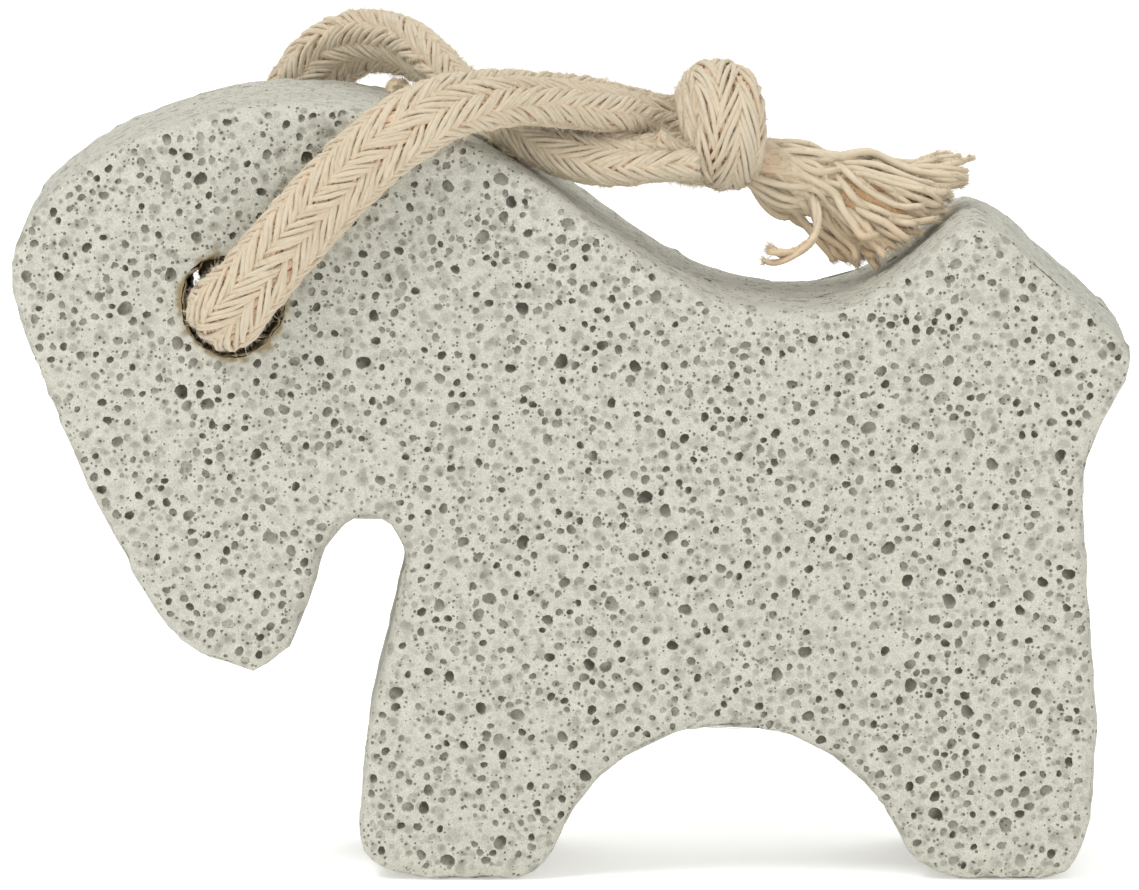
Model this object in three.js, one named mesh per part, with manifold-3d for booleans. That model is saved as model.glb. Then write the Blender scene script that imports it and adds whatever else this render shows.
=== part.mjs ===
// Pumice foot stone in the outline of a standing elephant, with a braided cotton cord through the head.
// Millimetres, +Z up. +X runs from trunk to tail, the front face looks along -Y, and the feet stand on Z = 0.

import * as THREE from 'three';
import { mergeVertices } from 'three/addons/utils/BufferGeometryUtils.js';
import Module from 'manifold-3d';

// Stone
const stoneThickness = 25;
const edgeRound = 1.5;
const edgeRoundSteps = 2;
const outlineStepsPerPoint = 2;
const holeCentre = new THREE.Vector2(-30.1, 52.1);
const holeRadius = 4.5;
const holeSides = 20;

// Side view of the stone as X, Z points, one smooth stretch after the other, clockwise from the brow.
// Each stretch starts at the end of the one before, and stretches meet at the corners of the outline.
const brow = [-50, 55];
const outlineStretches = {
  crown: [[-48.6, 59.2], [-45, 63.3], [-38.6, 67], [-30, 69.6], [-21.5, 70], [-12.4, 68.3]],
  neckAndSaddle: [
    [-4, 63.8], [3, 58.7], [8.5, 55], [13.5, 52.6], [19, 51.6], [24.5, 52], [29.3, 54.5], [34.2, 58.5],
  ],
  hump: [[36.2, 59.5], [39.4, 57.9]],
  rumpSlope: [[43.5, 54.3], [48.2, 50.2]],
  rumpCorner: [[49.8, 48.4], [49.8, 46.8], [48.9, 44.3]],
  hindLegBack: [[46.6, 38.8], [46, 34.5], [46.6, 24.6], [47.3, 14.6], [46.9, 6.5], [46, 2.8]],
  hindHeel: [[44.8, 0.8], [43, 0]],
  hindSole: [[35.5, 0]],
  hindToe: [[32.2, 0.9], [30.2, 2.8]],
  bellyArch: [
    [28.2, 6.5], [25, 10.3], [20.3, 12.8], [14.4, 13.9], [8.3, 12.8], [3.8, 10.2], [0.5, 6.5], [-1.4, 2.8],
  ],
  foreHeel: [[-2.8, 0.9], [-4.8, 0]],
  foreSole: [[-13.2, 0]],
  foreToe: [[-17.4, 1.2], [-18.8, 3]],
  foreLegFront: [[-18.7, 7.5], [-17.9, 14.5], [-16.3, 21], [-14.5, 29.4]],
  trunkNotch: [[-15.7, 31.7], [-18.2, 32.9], [-20.6, 31.8], [-21.9, 29.9]],
  trunkBack: [[-22.6, 27.6], [-24.3, 22.8]],
  trunkTip: [[-25.6, 20.6], [-28.4, 18.9], [-31, 19.8], [-33.4, 20.4]],
  trunkFront: [[-36.8, 24], [-40.2, 30], [-43.8, 37.2], [-47, 44.9], [-49.3, 51.2], brow],
};

// Open pores on the two flat faces: six-sided pits that narrow towards the bottom
const poresPerFace = 120;
const poreSides = 6;
const poreRadiusSmall = 0.6;
const poreRadiusLarge = 1.15;
const poreDepthShare = 1.1;
const poreMouthShare = 0.1;
const poreSquash = 0.3;
const poreSpacing = 0.5;
const poreTries = 6000;
const poreSeed = 1187;

// Cord: a flat tubular braid. Each station is a point on its centre line and the way its flat side faces.
const cordWidth = 6.4;
const cordThickness = 3.8;
const cordSides = 10;
const cordSteps = 64;
const cordStations = [
  { at: [8.4, 0.2, 67.6], faces: [0, -0.5, 0.85] },
  { at: [6.2, -0.6, 68.1], faces: [0, -0.5, 0.85] },
  { at: [2.7, -3.5, 69.1], faces: [0, -0.5, 0.85] },
  { at: [-0.9, -6, 69.8], faces: [0, -0.5, 0.85] },
  { at: [-4.4, -8.6, 70.3], faces: [0, -0.55, 0.85] },
  { at: [-8, -11.4, 70.4], faces: [0.1, -0.65, 0.75] },
  { at: [-11.6, -13.9, 69.7], faces: [0.1, -0.8, 0.6] },
  { at: [-15.1, -15, 67.8], faces: [0.1, -0.95, 0.3] },
  { at: [-19.1, -15.1, 64.5], faces: [0, -1, 0.05] },
  { at: [-22.6, -15.1, 60.9], faces: [0, -1, 0] },
  { at: [-25.9, -15.2, 57.1], faces: [0, -1, 0] },
  { at: [-28.6, -14.9, 54], faces: [-0.15, -1, -0.15] },
  { at: [-30.5, -13.2, 51.7], faces: [-0.5, -0.75, -0.55] },
  { at: [-31.2, -9.6, 50.8], faces: [-0.65, -0.25, -0.75] },
  { at: [-31.4, -4, 50.6], faces: [-0.64, 0, -0.77] },
  { at: [-31.3, 4, 50.7], faces: [-0.5, 0, -0.87] },
  { at: [-31, 9.3, 51.1], faces: [-0.3, 0.2, -0.93] },
  { at: [-30.6, 12.9, 52.6], faces: [-0.15, 0.7, -0.7] },
  { at: [-29.9, 14.9, 55.6], faces: [0, 1, -0.2] },
  { at: [-28.4, 15.3, 60.1], faces: [0, 1, 0] },
  { at: [-26.4, 15.2, 64.8], faces: [0, 1, 0] },
  { at: [-24.6, 15, 68.5], faces: [0, 1, 0.05] },
  { at: [-22.4, 14.2, 71.4], faces: [0, 1, 0.15] },
  { at: [-19.8, 12.5, 73.1], faces: [0, 0.95, 0.3] },
  { at: [-17.1, 10, 73.6], faces: [0.05, 0.9, 0.4] },
  { at: [-14.5, 6.9, 73.2], faces: [0.15, 0.8, 0.5] },
  { at: [-12.2, 3.8, 72], faces: [0.3, 0.6, 0.65] },
  { at: [-9.9, 1.2, 70.3], faces: [0.4, 0.3, 0.8] },
  { at: [-7.4, -1.2, 68.5], faces: [0.4, 0.05, 0.9] },
  { at: [-4.4, -3.4, 66.7], faces: [0.3, -0.2, 0.9] },
  { at: [-0.9, -4.8, 65.3], faces: [0.1, -0.35, 0.9] },
  { at: [2.7, -5.1, 64.5], faces: [0, -0.45, 0.9] },
  { at: [6.2, -4.9, 64.4], faces: [0, -0.5, 0.85] },
  { at: [8.4, -4.6, 64.5], faces: [0, -0.5, 0.85] },
];

// Knot: two turns of the cord lying side by side
const knotCentre = new THREE.Vector3(13.6, -1.5, 67);
const knotAxisDrop = THREE.MathUtils.degToRad(9);
const knotSides = 20;
const knotShoulderSteps = 4;
const knotTurns = [
  { along: -1.9, sideways: -0.3, radius: 4.8, width: 4, lean: THREE.MathUtils.degToRad(-9) },
  { along: 0.9, sideways: 0, radius: 5.8, width: 6.4, lean: THREE.MathUtils.degToRad(6) },
];

// Tassel: a short bound stub, and locks of loose yarn that fan out of it to their tips
const stubRadius = 2.8;
const stubPath = [[18.5, -0.9, 63.4], [20.4, -0.3, 61.9], [22.4, 0.3, 60.6]];
const lockRoot = [20.8, -0.2, 61.8];
const lockRootRadius = 1.5;
const lockTipRadius = 0.8;
const lockSides = 7;
const lockSteps = 6;
const lockPaths = [
  [[25, 2.6, 65.2], [30, 4.4, 64], [34.6, 4.2, 64.4]],
  [[26, 2.2, 64], [31, 3.4, 63.2], [35.6, 3.2, 62.6]],
  [[26, 1.6, 63], [31, 2.2, 62.2], [35.8, 1.8, 61.4]],
  [[25.5, 0.4, 62.2], [30.5, 0.2, 60.6], [34.4, 0.4, 59.9]],
  [[25, -0.4, 61.4], [29, -1, 59.4], [32.6, -1, 58.7]],
  [[24.6, -0.8, 60.6], [27.6, -1.6, 58.4], [30.6, -1.8, 57.2]],
  [[24, -0.6, 60.2], [26.6, -1.4, 57.6], [28.6, -1.6, 55.9]],
  [[22.9, 0.2, 59], [24.4, 0.6, 56.6], [25.8, 1, 54.8]],
  [[25.4, 3.4, 62.6], [30, 4.8, 61.2], [33.6, 5.2, 60.4]],
  [[24.4, 2.6, 61.6], [27.4, 4, 59.2], [29.6, 4.4, 57.6]],
];
const strayYarnRadius = 0.7;
const strayYarnPath = [
  [21.2, -0.8, 61.4], [22.2, -2.8, 59.5], [22.2, -3.6, 57.7], [21, -4, 56.2], [19.3, -4.1, 55.5], [17.5, -4, 55.8],
];

const wasm = await Module();
wasm.setup();

// A closed three.js geometry as a solid that can be joined and cut
function toSolid(geometry) {
  const bare = geometry.clone();
  bare.deleteAttribute('normal');
  bare.deleteAttribute('uv');
  const merged = mergeVertices(bare, 1e-4);
  return new wasm.Manifold(new wasm.Mesh({
    numProp: 3,
    vertProperties: new Float32Array(merged.attributes.position.array),
    triVerts: new Uint32Array(merged.index.array),
  }));
}

function toGeometry(solid) {
  const mesh = solid.getMesh();
  const geometry = new THREE.BufferGeometry();
  geometry.setAttribute('position', new THREE.BufferAttribute(new Float32Array(mesh.vertProperties), 3));
  geometry.setIndex(new THREE.BufferAttribute(new Uint32Array(mesh.triVerts), 1));
  geometry.computeVertexNormals();
  return geometry;
}

// Repeatable random numbers from 0 to 1
function randomSource(seed) {
  let state = seed;
  return () => {
    state = (state + 0x6d2b79f5) | 0;
    let mixed = Math.imul(state ^ (state >>> 15), 1 | state);
    mixed = (mixed + Math.imul(mixed ^ (mixed >>> 7), 61 | mixed)) ^ mixed;
    return ((mixed ^ (mixed >>> 14)) >>> 0) / 4294967296;
  };
}

function stoneShape() {
  const shape = new THREE.Shape();
  shape.moveTo(...brow);
  for (const stretch of Object.values(outlineStretches)) {
    shape.splineThru(stretch.map(([x, z]) => new THREE.Vector2(x, z)));
  }
  const hole = new THREE.EllipseCurve(holeCentre.x, holeCentre.y, holeRadius, holeRadius);
  shape.holes.push(new THREE.Path(hole.getPoints(holeSides)));
  return shape;
}

function distanceToSegment(point, start, end) {
  const along = end.clone().sub(start);
  const share = THREE.MathUtils.clamp(point.clone().sub(start).dot(along) / along.lengthSq(), 0, 1);
  return point.distanceTo(start.clone().addScaledVector(along, share));
}

// How far a point lies inside the outline, negative outside it
function depthInside(point, corners) {
  let inside = false;
  let nearest = Infinity;
  corners.forEach((start, i) => {
    const end = corners[(i + 1) % corners.length];
    if (start.equals(end)) return;
    nearest = Math.min(nearest, distanceToSegment(point, start, end));
    const straddles = (start.y > point.y) !== (end.y > point.y);
    const crossing = start.x + ((point.y - start.y) / (end.y - start.y)) * (end.x - start.x);
    if (straddles && point.x < crossing) inside = !inside;
  });
  return inside ? nearest : -nearest;
}

// Centres and radii of the pores of one face, none touching another, the rounded edge or the hole
function scatterPores(corners, random) {
  const box = new THREE.Box2().setFromPoints(corners);
  const pores = [];
  for (let i = 0; i < poreTries && pores.length < poresPerFace; i++) {
    const centre = new THREE.Vector2(
      THREE.MathUtils.lerp(box.min.x, box.max.x, random()),
      THREE.MathUtils.lerp(box.min.y, box.max.y, random()),
    );
    const radius = THREE.MathUtils.lerp(poreRadiusSmall, poreRadiusLarge, random() ** 2);
    const margin = edgeRound + radius + poreSpacing;
    const clearOfHole = centre.distanceTo(holeCentre) > holeRadius + margin;
    const clearOfEdge = depthInside(centre, corners) > margin;
    const clearOfOthers = pores.every(
      (pore) => pore.centre.distanceTo(centre) > pore.radius + radius + poreSpacing,
    );
    if (clearOfHole && clearOfEdge && clearOfOthers) {
      pores.push({ centre, radius, turn: random() * Math.PI, squash: 1 - poreSquash * random() });
    }
  }
  return pores;
}

// A cone that points into the face on the given side, its mouth just proud of it
function poreCutter({ centre, radius, turn, squash }, side) {
  const depth = poreDepthShare * radius;
  const pore = new THREE.ConeGeometry(radius, depth, poreSides);
  pore.scale(squash, 1, 1);
  pore.rotateY(turn);
  if (side > 0) pore.rotateX(Math.PI);
  pore.translate(centre.x, side * (stoneThickness / 2 + (poreMouthShare - 0.5) * depth), centre.y);
  return toSolid(pore);
}

// The slab stands upright on its soles, with its pores cut into the front and back faces
function stoneGeometry() {
  const shape = stoneShape();
  const slab = new THREE.ExtrudeGeometry(shape, {
    depth: stoneThickness - 2 * edgeRound,
    curveSegments: outlineStepsPerPoint,
    bevelThickness: edgeRound,
    bevelSize: edgeRound,
    bevelOffset: -edgeRound,
    bevelSegments: edgeRoundSteps,
  });
  slab.rotateX(Math.PI / 2);
  slab.translate(0, stoneThickness / 2 - edgeRound, 0);

  const corners = shape.getPoints(outlineStepsPerPoint);
  const random = randomSource(poreSeed);
  let stone = toSolid(slab);
  for (const side of [-1, 1]) {
    for (const pore of scatterPores(corners, random)) {
      stone = stone.subtract(poreCutter(pore, side));
    }
  }
  return toGeometry(stone);
}

// A path that also says which way the flat side of the cord faces
class FlatCordPath extends THREE.CatmullRomCurve3 {
  constructor(stations) {
    super(stations.map(({ at }) => new THREE.Vector3(...at)), false, 'centripetal');
    const directions = stations.map(({ faces }) => new THREE.Vector3(...faces).normalize());
    this.facing = new THREE.CatmullRomCurve3(directions);
  }

  computeFrenetFrames(segments) {
    const frames = { tangents: [], normals: [], binormals: [] };
    for (let i = 0; i <= segments; i++) {
      const tangent = this.getTangentAt(i / segments);
      const outward = this.facing.getPoint(this.getUtoTmapping(i / segments));
      const normal = outward.addScaledVector(tangent, -outward.dot(tangent)).normalize();
      frames.tangents.push(tangent);
      frames.normals.push(normal);
      frames.binormals.push(new THREE.Vector3().crossVectors(tangent, normal));
    }
    return frames;
  }
}

function cordGeometry() {
  const section = new THREE.Shape();
  for (let i = 0; i < cordSides; i++) {
    const angle = (2 * Math.PI * i) / cordSides;
    const corner = [(cordThickness / 2) * Math.cos(angle), (cordWidth / 2) * Math.sin(angle)];
    if (i === 0) section.moveTo(...corner);
    else section.lineTo(...corner);
  }
  const route = new FlatCordPath(cordStations);
  return new THREE.ExtrudeGeometry(section, { steps: cordSteps, extrudePath: route });
}

// One turn of the knot: a disc about X with a round shoulder on both sides
function knotTurn({ along, sideways, radius, width, lean }) {
  const shoulder = width / 2;
  const profile = [new THREE.Vector2(0, -shoulder)];
  for (let i = 0; i <= knotShoulderSteps; i++) {
    const angle = THREE.MathUtils.lerp(-Math.PI / 2, Math.PI / 2, i / knotShoulderSteps);
    profile.push(new THREE.Vector2(radius - shoulder * (1 - Math.cos(angle)), shoulder * Math.sin(angle)));
  }
  profile.push(new THREE.Vector2(0, shoulder));
  const disc = new THREE.LatheGeometry(profile, knotSides);
  disc.rotateZ(-Math.PI / 2 + lean);
  disc.translate(along, sideways, 0);
  return toSolid(disc);
}

function knotGeometry() {
  const [first, second] = knotTurns.map(knotTurn);
  const knot = toGeometry(first.add(second));
  knot.rotateY(knotAxisDrop);
  return knot.translate(knotCentre.x, knotCentre.y, knotCentre.z);
}

// A round lock that narrows along its path: a cylinder with each of its rings carried to the curve
function taperedLock(points, rootRadius, tipRadius) {
  const curve = new THREE.CatmullRomCurve3(points.map((point) => new THREE.Vector3(...point)));
  const frames = curve.computeFrenetFrames(lockSteps, false);
  const lock = new THREE.CylinderGeometry(tipRadius, rootRadius, 1, lockSides, lockSteps);
  const position = lock.attributes.position;
  for (let i = 0; i < position.count; i++) {
    const share = position.getY(i) + 0.5;
    const ring = Math.round(share * lockSteps);
    const carried = curve.getPointAt(share);
    carried.addScaledVector(frames.normals[ring], position.getX(i));
    carried.addScaledVector(frames.binormals[ring], -position.getZ(i));
    position.setXYZ(i, ...carried);
  }
  return toSolid(lock);
}

function tasselGeometry() {
  const stub = taperedLock(stubPath, stubRadius, stubRadius);
  const locks = lockPaths.map((points) => taperedLock([lockRoot, ...points], lockRootRadius, lockTipRadius));
  const stray = taperedLock(strayYarnPath, strayYarnRadius, strayYarnRadius);
  return toGeometry([...locks, stray].reduce((joined, lock) => joined.add(lock), stub));
}

function piece(name, geometry, color) {
  const material = new THREE.MeshStandardMaterial({ color, roughness: 0.95, metalness: 0 });
  const mesh = new THREE.Mesh(geometry, material);
  mesh.name = name;
  return mesh;
}

const pumiceStone = new THREE.Group();
pumiceStone.add(
  piece('stone', stoneGeometry(), 0xc8c7ba),
  piece('cord_loop', cordGeometry(), 0xe6d3b3),
  piece('knot', knotGeometry(), 0xe0d1b2),
  piece('tassel', tasselGeometry(), 0xe8d5b1),
);

export default pumiceStone;
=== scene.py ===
"""A pumice foot stone in the outline of a standing elephant, on a knotted loop of braided cotton cord.

Lengths are metres unless a name ends in _mm. +X runs from trunk to tail, the front face looks along -Y and
the soles stand on Z = 0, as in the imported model.
"""

import logging
import math
from collections.abc import Callable
from dataclasses import dataclass, field, replace
from enum import Enum

import bpy
import numpy as np
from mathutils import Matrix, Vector
from mathutils.geometry import delaunay_2d_cdt


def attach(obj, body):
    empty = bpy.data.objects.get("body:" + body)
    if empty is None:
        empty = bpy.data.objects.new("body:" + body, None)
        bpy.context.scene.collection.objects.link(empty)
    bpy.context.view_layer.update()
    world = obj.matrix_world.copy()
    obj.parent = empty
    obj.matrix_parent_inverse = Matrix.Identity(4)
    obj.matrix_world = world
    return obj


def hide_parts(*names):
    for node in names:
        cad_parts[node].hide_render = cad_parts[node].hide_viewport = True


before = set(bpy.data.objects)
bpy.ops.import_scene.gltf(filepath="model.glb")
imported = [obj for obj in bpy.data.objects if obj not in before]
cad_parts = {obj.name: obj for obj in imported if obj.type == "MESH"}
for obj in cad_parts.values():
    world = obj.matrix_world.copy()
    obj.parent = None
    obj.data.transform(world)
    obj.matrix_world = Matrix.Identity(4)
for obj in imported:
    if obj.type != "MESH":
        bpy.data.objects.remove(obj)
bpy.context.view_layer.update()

Array = np.ndarray
Pair = tuple[float, float]
Triple = tuple[float, float, float]
Colour = tuple[float, float, float, float]
Socket = bpy.types.NodeSocket
Piece = bpy.types.Object
Material = bpy.types.Material

MM = 0.001
TURN = 2.0 * math.pi
BODY = "root"
COTTON_VALUES = ["tone", "depth", "fibre"]
NO_QUADS = np.zeros((0, 4), int)
NO_TRIANGLES = np.zeros((0, 3), int)
LUMP_END = 0.96
WIDEST_LOBE = 1.12
# Strengths of painted shade for dark, mid and pale pores.
PORE_SHADE_LEVELS = (0.95, 0.48, 0.18)

log = logging.getLogger("pumice_stone")


class Slot(Enum):
    """Material slots of the record."""

    PUMICE = "pumice"
    BRAID = "cotton_braid"
    YARN = "cotton_yarn"


class Face(Enum):
    """The two flat faces of the stone, by the sign of Y that they look along."""

    FRONT = -1
    BACK = 1


def unit(vectors: Array) -> Array:
    """Vectors scaled to length 1 along their last axis."""
    return vectors / np.linalg.norm(vectors, axis=-1, keepdims=True)


def square_to(vectors: Array, tangents: Array) -> Array:
    """Unit vectors left of the given ones when their share along the tangents is taken away."""
    return unit(vectors - np.sum(vectors * tangents, axis=-1, keepdims=True) * tangents)


def lengths_along(points: Array) -> Array:
    """Distance from the first point to each point of a line, measured along the line."""
    steps = np.linalg.norm(np.diff(points, axis=0), axis=1)
    return np.concatenate([[0.0], np.cumsum(steps)])


def smoothstep(values: Array, low: float, high: float) -> Array:
    """Values carried from low..high to 0..1 with a level start and end."""
    share = np.clip((values - low) / (high - low), 0.0, 1.0)
    return share * share * (3.0 - 2.0 * share)


def in_parts(points: Array, size: int) -> list[Array]:
    """Points split into parts of about a size, so that tables of distances stay small."""
    return np.array_split(points, max(1, len(points) // size))


def read_at(at: Array, knots: Array, rows: Array) -> Array:
    """Rows read between their knots at the wanted parameters, each column by itself."""
    return np.stack([np.interp(at, knots, column) for column in rows.T], axis=-1)


def lump_shares(steps: int) -> tuple[Array, Array]:
    """Places from tip to tip of a rounded lump as shares of its half length, and its radius at each."""
    share = np.linspace(-LUMP_END, LUMP_END, steps)
    return share, np.sqrt(1.0 - share**2)


def spline(values: Array, knots: Array, at: Array) -> Array:
    """Natural cubic spline, the smoothest curve through the values at their knots.

    The bends at the inner knots solve one linear system, so that slope and bend run on from span to span.
    Each span is then the straight line between its values plus the cubic that has those bends at its ends.

    Args:
        values: One row for each knot.
        knots: Rising parameter of each row.
        at: Parameters where the curve is wanted.

    Returns:
        One row for each wanted parameter.
    """
    spans = np.diff(knots)
    inner = np.arange(1, len(knots) - 1)
    system = np.eye(len(knots))
    system[inner, inner - 1] = spans[:-1]
    system[inner, inner] = 2.0 * (spans[:-1] + spans[1:])
    system[inner, inner + 1] = spans[1:]
    turns = np.zeros_like(values, dtype=float)
    turns[1:-1] = 6.0 * np.diff(np.diff(values, axis=0) / spans[:, None], axis=0)
    bends = np.linalg.solve(system, turns)
    span = np.clip(np.searchsorted(knots, at, side="right") - 1, 0, len(knots) - 2)
    after = ((at - knots[span]) / spans[span])[:, None]
    before = 1.0 - after
    line = before * values[span] + after * values[span + 1]
    cubic = (before**3 - before) * bends[span] + (after**3 - after) * bends[span + 1]
    return line + cubic * spans[span][:, None] ** 2 / 6.0


@dataclass(frozen=True)
class Ripple:
    """Repeatable roughness in space: the sum of plane waves in random directions, about -1 to 1."""

    scale: float
    seed: int
    waves: int = 24

    def at(self, points: Array) -> Array:
        """Height of the roughness at each point.

        Each wave is the cosine of the point's distance along the wave's direction, over a wavelength between
        0.6 and 1.6 times the scale, plus the wave's own phase.

        Args:
            points: Positions, three numbers in the last axis.

        Returns:
            One value for each point.
        """
        rng = np.random.default_rng(self.seed)
        directions = unit(rng.normal(size=(self.waves, 3)))
        numbers = TURN / (self.scale * rng.uniform(0.6, 1.6, self.waves))
        phases = rng.uniform(0.0, TURN, self.waves)
        waves = np.cos(points @ (directions * numbers[:, None]).T + phases)
        return waves.sum(axis=-1) / math.sqrt(0.5 * self.waves) / 2.0


@dataclass
class Surface:
    """Points, faces and per-point values of a piece, held as whole arrays."""

    points: Array
    quads: Array
    triangles: Array
    values: dict[str, Array]

    @classmethod
    def joined(cls, surfaces: list["Surface"]) -> "Surface":
        """One surface that holds all the given ones.

        Args:
            surfaces: Surfaces with the same per-point values.

        Returns:
            The joined surface, its faces numbered on from part to part.
        """
        counts = np.array([len(surface.points) for surface in surfaces])
        firsts = np.concatenate([[0], np.cumsum(counts)[:-1]])
        pairs = list(zip(surfaces, firsts))
        return cls(
            np.concatenate([surface.points for surface in surfaces]),
            np.concatenate([surface.quads + first for surface, first in pairs]),
            np.concatenate([surface.triangles + first for surface, first in pairs]),
            {
                name: np.concatenate([surface.values[name] for surface in surfaces])
                for name in surfaces[0].values
            },
        )

    def welded(self, grid: float) -> "Surface":
        """The surface with points at the same place made one, and faces that this flattens left out.

        Args:
            grid: Points that round to the same step of this size are one.

        Returns:
            The welded surface, with all its faces as triangles.
        """
        halves = np.concatenate([self.quads[:, [0, 1, 2]], self.quads[:, [0, 2, 3]], self.triangles])
        keys = np.round(self.points / grid).astype(np.int64)
        _, kept, new_index = np.unique(keys, axis=0, return_index=True, return_inverse=True)
        corners = new_index.reshape(-1)[halves]
        whole = (corners != np.roll(corners, 1, axis=1)).all(axis=1)
        return Surface(
            self.points[kept],
            NO_QUADS,
            corners[whole],
            {name: value[kept] for name, value in self.values.items()},
        )

    def to_object(
        self, name: str, material: Material, shown: list[str], smooth: bool = True
    ) -> Piece:
        """Puts the arrays into a mesh object at the origin.

        Args:
            name: Name of the piece.
            material: Its finish.
            shown: Names of the per-point values that the finish reads.
            smooth: Whether the faces are shaded smooth.

        Returns:
            The new object, linked to the scene.
        """
        mesh = bpy.data.meshes.new(name)
        corners = np.concatenate([self.quads.reshape(-1), self.triangles.reshape(-1)])
        sizes = np.concatenate([np.full(len(self.quads), 4), np.full(len(self.triangles), 3)])
        mesh.vertices.add(len(self.points))
        mesh.vertices.foreach_set("co", self.points.astype(np.float32).reshape(-1))
        mesh.loops.add(len(corners))
        mesh.loops.foreach_set("vertex_index", corners.astype(np.int32))
        mesh.polygons.add(len(sizes))
        mesh.polygons.foreach_set("loop_start", (np.cumsum(sizes) - sizes).astype(np.int32))
        mesh.polygons.foreach_set("use_smooth", np.full(len(sizes), smooth))
        mesh.update(calc_edges=True)
        for label in shown:
            value = self.values[label].astype(np.float32)
            kind, key = ("FLOAT_VECTOR", "vector") if value.ndim == 2 else ("FLOAT", "value")
            mesh.attributes.new(label, kind, "POINT").data.foreach_set(key, value.reshape(-1))
        mesh.materials.append(material)
        piece = bpy.data.objects.new(name, mesh)
        bpy.context.scene.collection.objects.link(piece)
        return piece


def skin(rings: Array) -> Surface:
    """Closed tubes through rings of points: quads from ring to ring, and a fan over each end.

    Args:
        rings: Points with the axes tube, step, side and coordinate. Each ring turns from outward to
            sideways about the way that the tube runs.

    Returns:
        The tubes, with each point's tube, step and side as values.
    """
    tubes, steps, sides = rings.shape[:3]
    index = np.arange(tubes * steps * sides).reshape(tubes, steps, sides)
    turned = np.roll(index, -1, axis=2)
    quads = np.stack([index[:, :-1], turned[:, :-1], turned[:, 1:], index[:, 1:]], axis=-1)
    first_end = np.broadcast_to(index.size + 2 * np.arange(tubes)[:, None], (tubes, sides))
    start_fan = np.stack([first_end, turned[:, 0], index[:, 0]], axis=-1)
    end_fan = np.stack([first_end + 1, index[:, -1], turned[:, -1]], axis=-1)
    middles = rings[:, [0, -1]].mean(axis=2)
    tube, step, side = np.indices((tubes, steps, sides)).reshape(3, -1)
    return Surface(
        np.concatenate([rings.reshape(-1, 3), middles.reshape(-1, 3)]),
        quads.reshape(-1, 4),
        np.concatenate([start_fan, end_fan]).reshape(-1, 3),
        {
            "tube": np.concatenate([tube, np.repeat(np.arange(tubes), 2)]),
            "step": np.concatenate([step, np.tile([0, steps - 1], tubes)]),
            "side": np.concatenate([side, np.zeros(2 * tubes, int)]),
        },
    )


def tubes_along(lines: Array, radii: Array, outward: Array, sides: int) -> Surface:
    """Round tubes along many lines at once.

    Each ring is the line's point plus the radius times cos a along the outward way made square to the line,
    plus the radius times sin a along the third direction.

    Args:
        lines: Centre lines with the axes tube, step and coordinate.
        radii: Radius for each tube, step and side, or anything that spreads to that.
        outward: A direction for each tube and step that isn't along the line.
        sides: Points of each ring.

    Returns:
        The closed tubes.
    """
    tangents = unit(np.gradient(lines, axis=1))
    normals = square_to(np.broadcast_to(outward, lines.shape), tangents)
    thirds = np.cross(tangents, normals)
    angles = TURN * np.arange(sides)[:, None] / sides
    spokes = np.cos(angles) * normals[:, :, None] + np.sin(angles) * thirds[:, :, None]
    spread = np.broadcast_to(radii, (*lines.shape[:2], sides))
    return skin(lines[:, :, None] + spread[..., None] * spokes)


def plain_cotton(surface: Surface, tone: float, depth: float) -> Surface:
    """The surface as cotton of one tone and depth all over, with its points as the places of its fibres."""
    even = np.ones(len(surface.points))
    return replace(surface, values={"tone": tone * even, "depth": depth * even, "fibre": surface.points})


def twisted_fibre(radius: float, turned: Array, run: Array) -> Array:
    """Places for the grain of a yarn's finish, which turn with its twist and run along it."""
    return np.stack([radius * np.cos(turned), radius * np.sin(turned), run], axis=1)


@dataclass(frozen=True)
class Ribbon:
    """A centre line in even steps, with the two directions of a flat section at each step."""

    points: Array
    outward: Array
    sideways: Array
    along: Array

    @classmethod
    def through(cls, stations: Array, step: float) -> "Ribbon":
        """A smooth ribbon through stations.

        The points and facings share one cubic spline over the chord lengths, which is then read at even
        lengths. The facing is made square to the line, and the third direction completes the frame.

        Args:
            stations: Rows of a point and the way that the flat side faces there.
            step: Distance between steps.

        Returns:
            The ribbon.
        """
        knots = lengths_along(stations[:, :3])
        curve = spline(stations, knots, np.linspace(0.0, knots[-1], 24 * len(stations)))
        lengths = lengths_along(curve[:, :3])
        along = np.linspace(0.0, lengths[-1], round(lengths[-1] / step) + 1)
        even = read_at(along, lengths, curve)
        tangents = unit(np.gradient(even[:, :3], axis=0))
        outward = square_to(even[:, 3:], tangents)
        return cls(even[:, :3], outward, np.cross(tangents, outward), along)

    @property
    def length(self) -> float:
        """Length of the centre line."""
        return float(self.along[-1])


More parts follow.
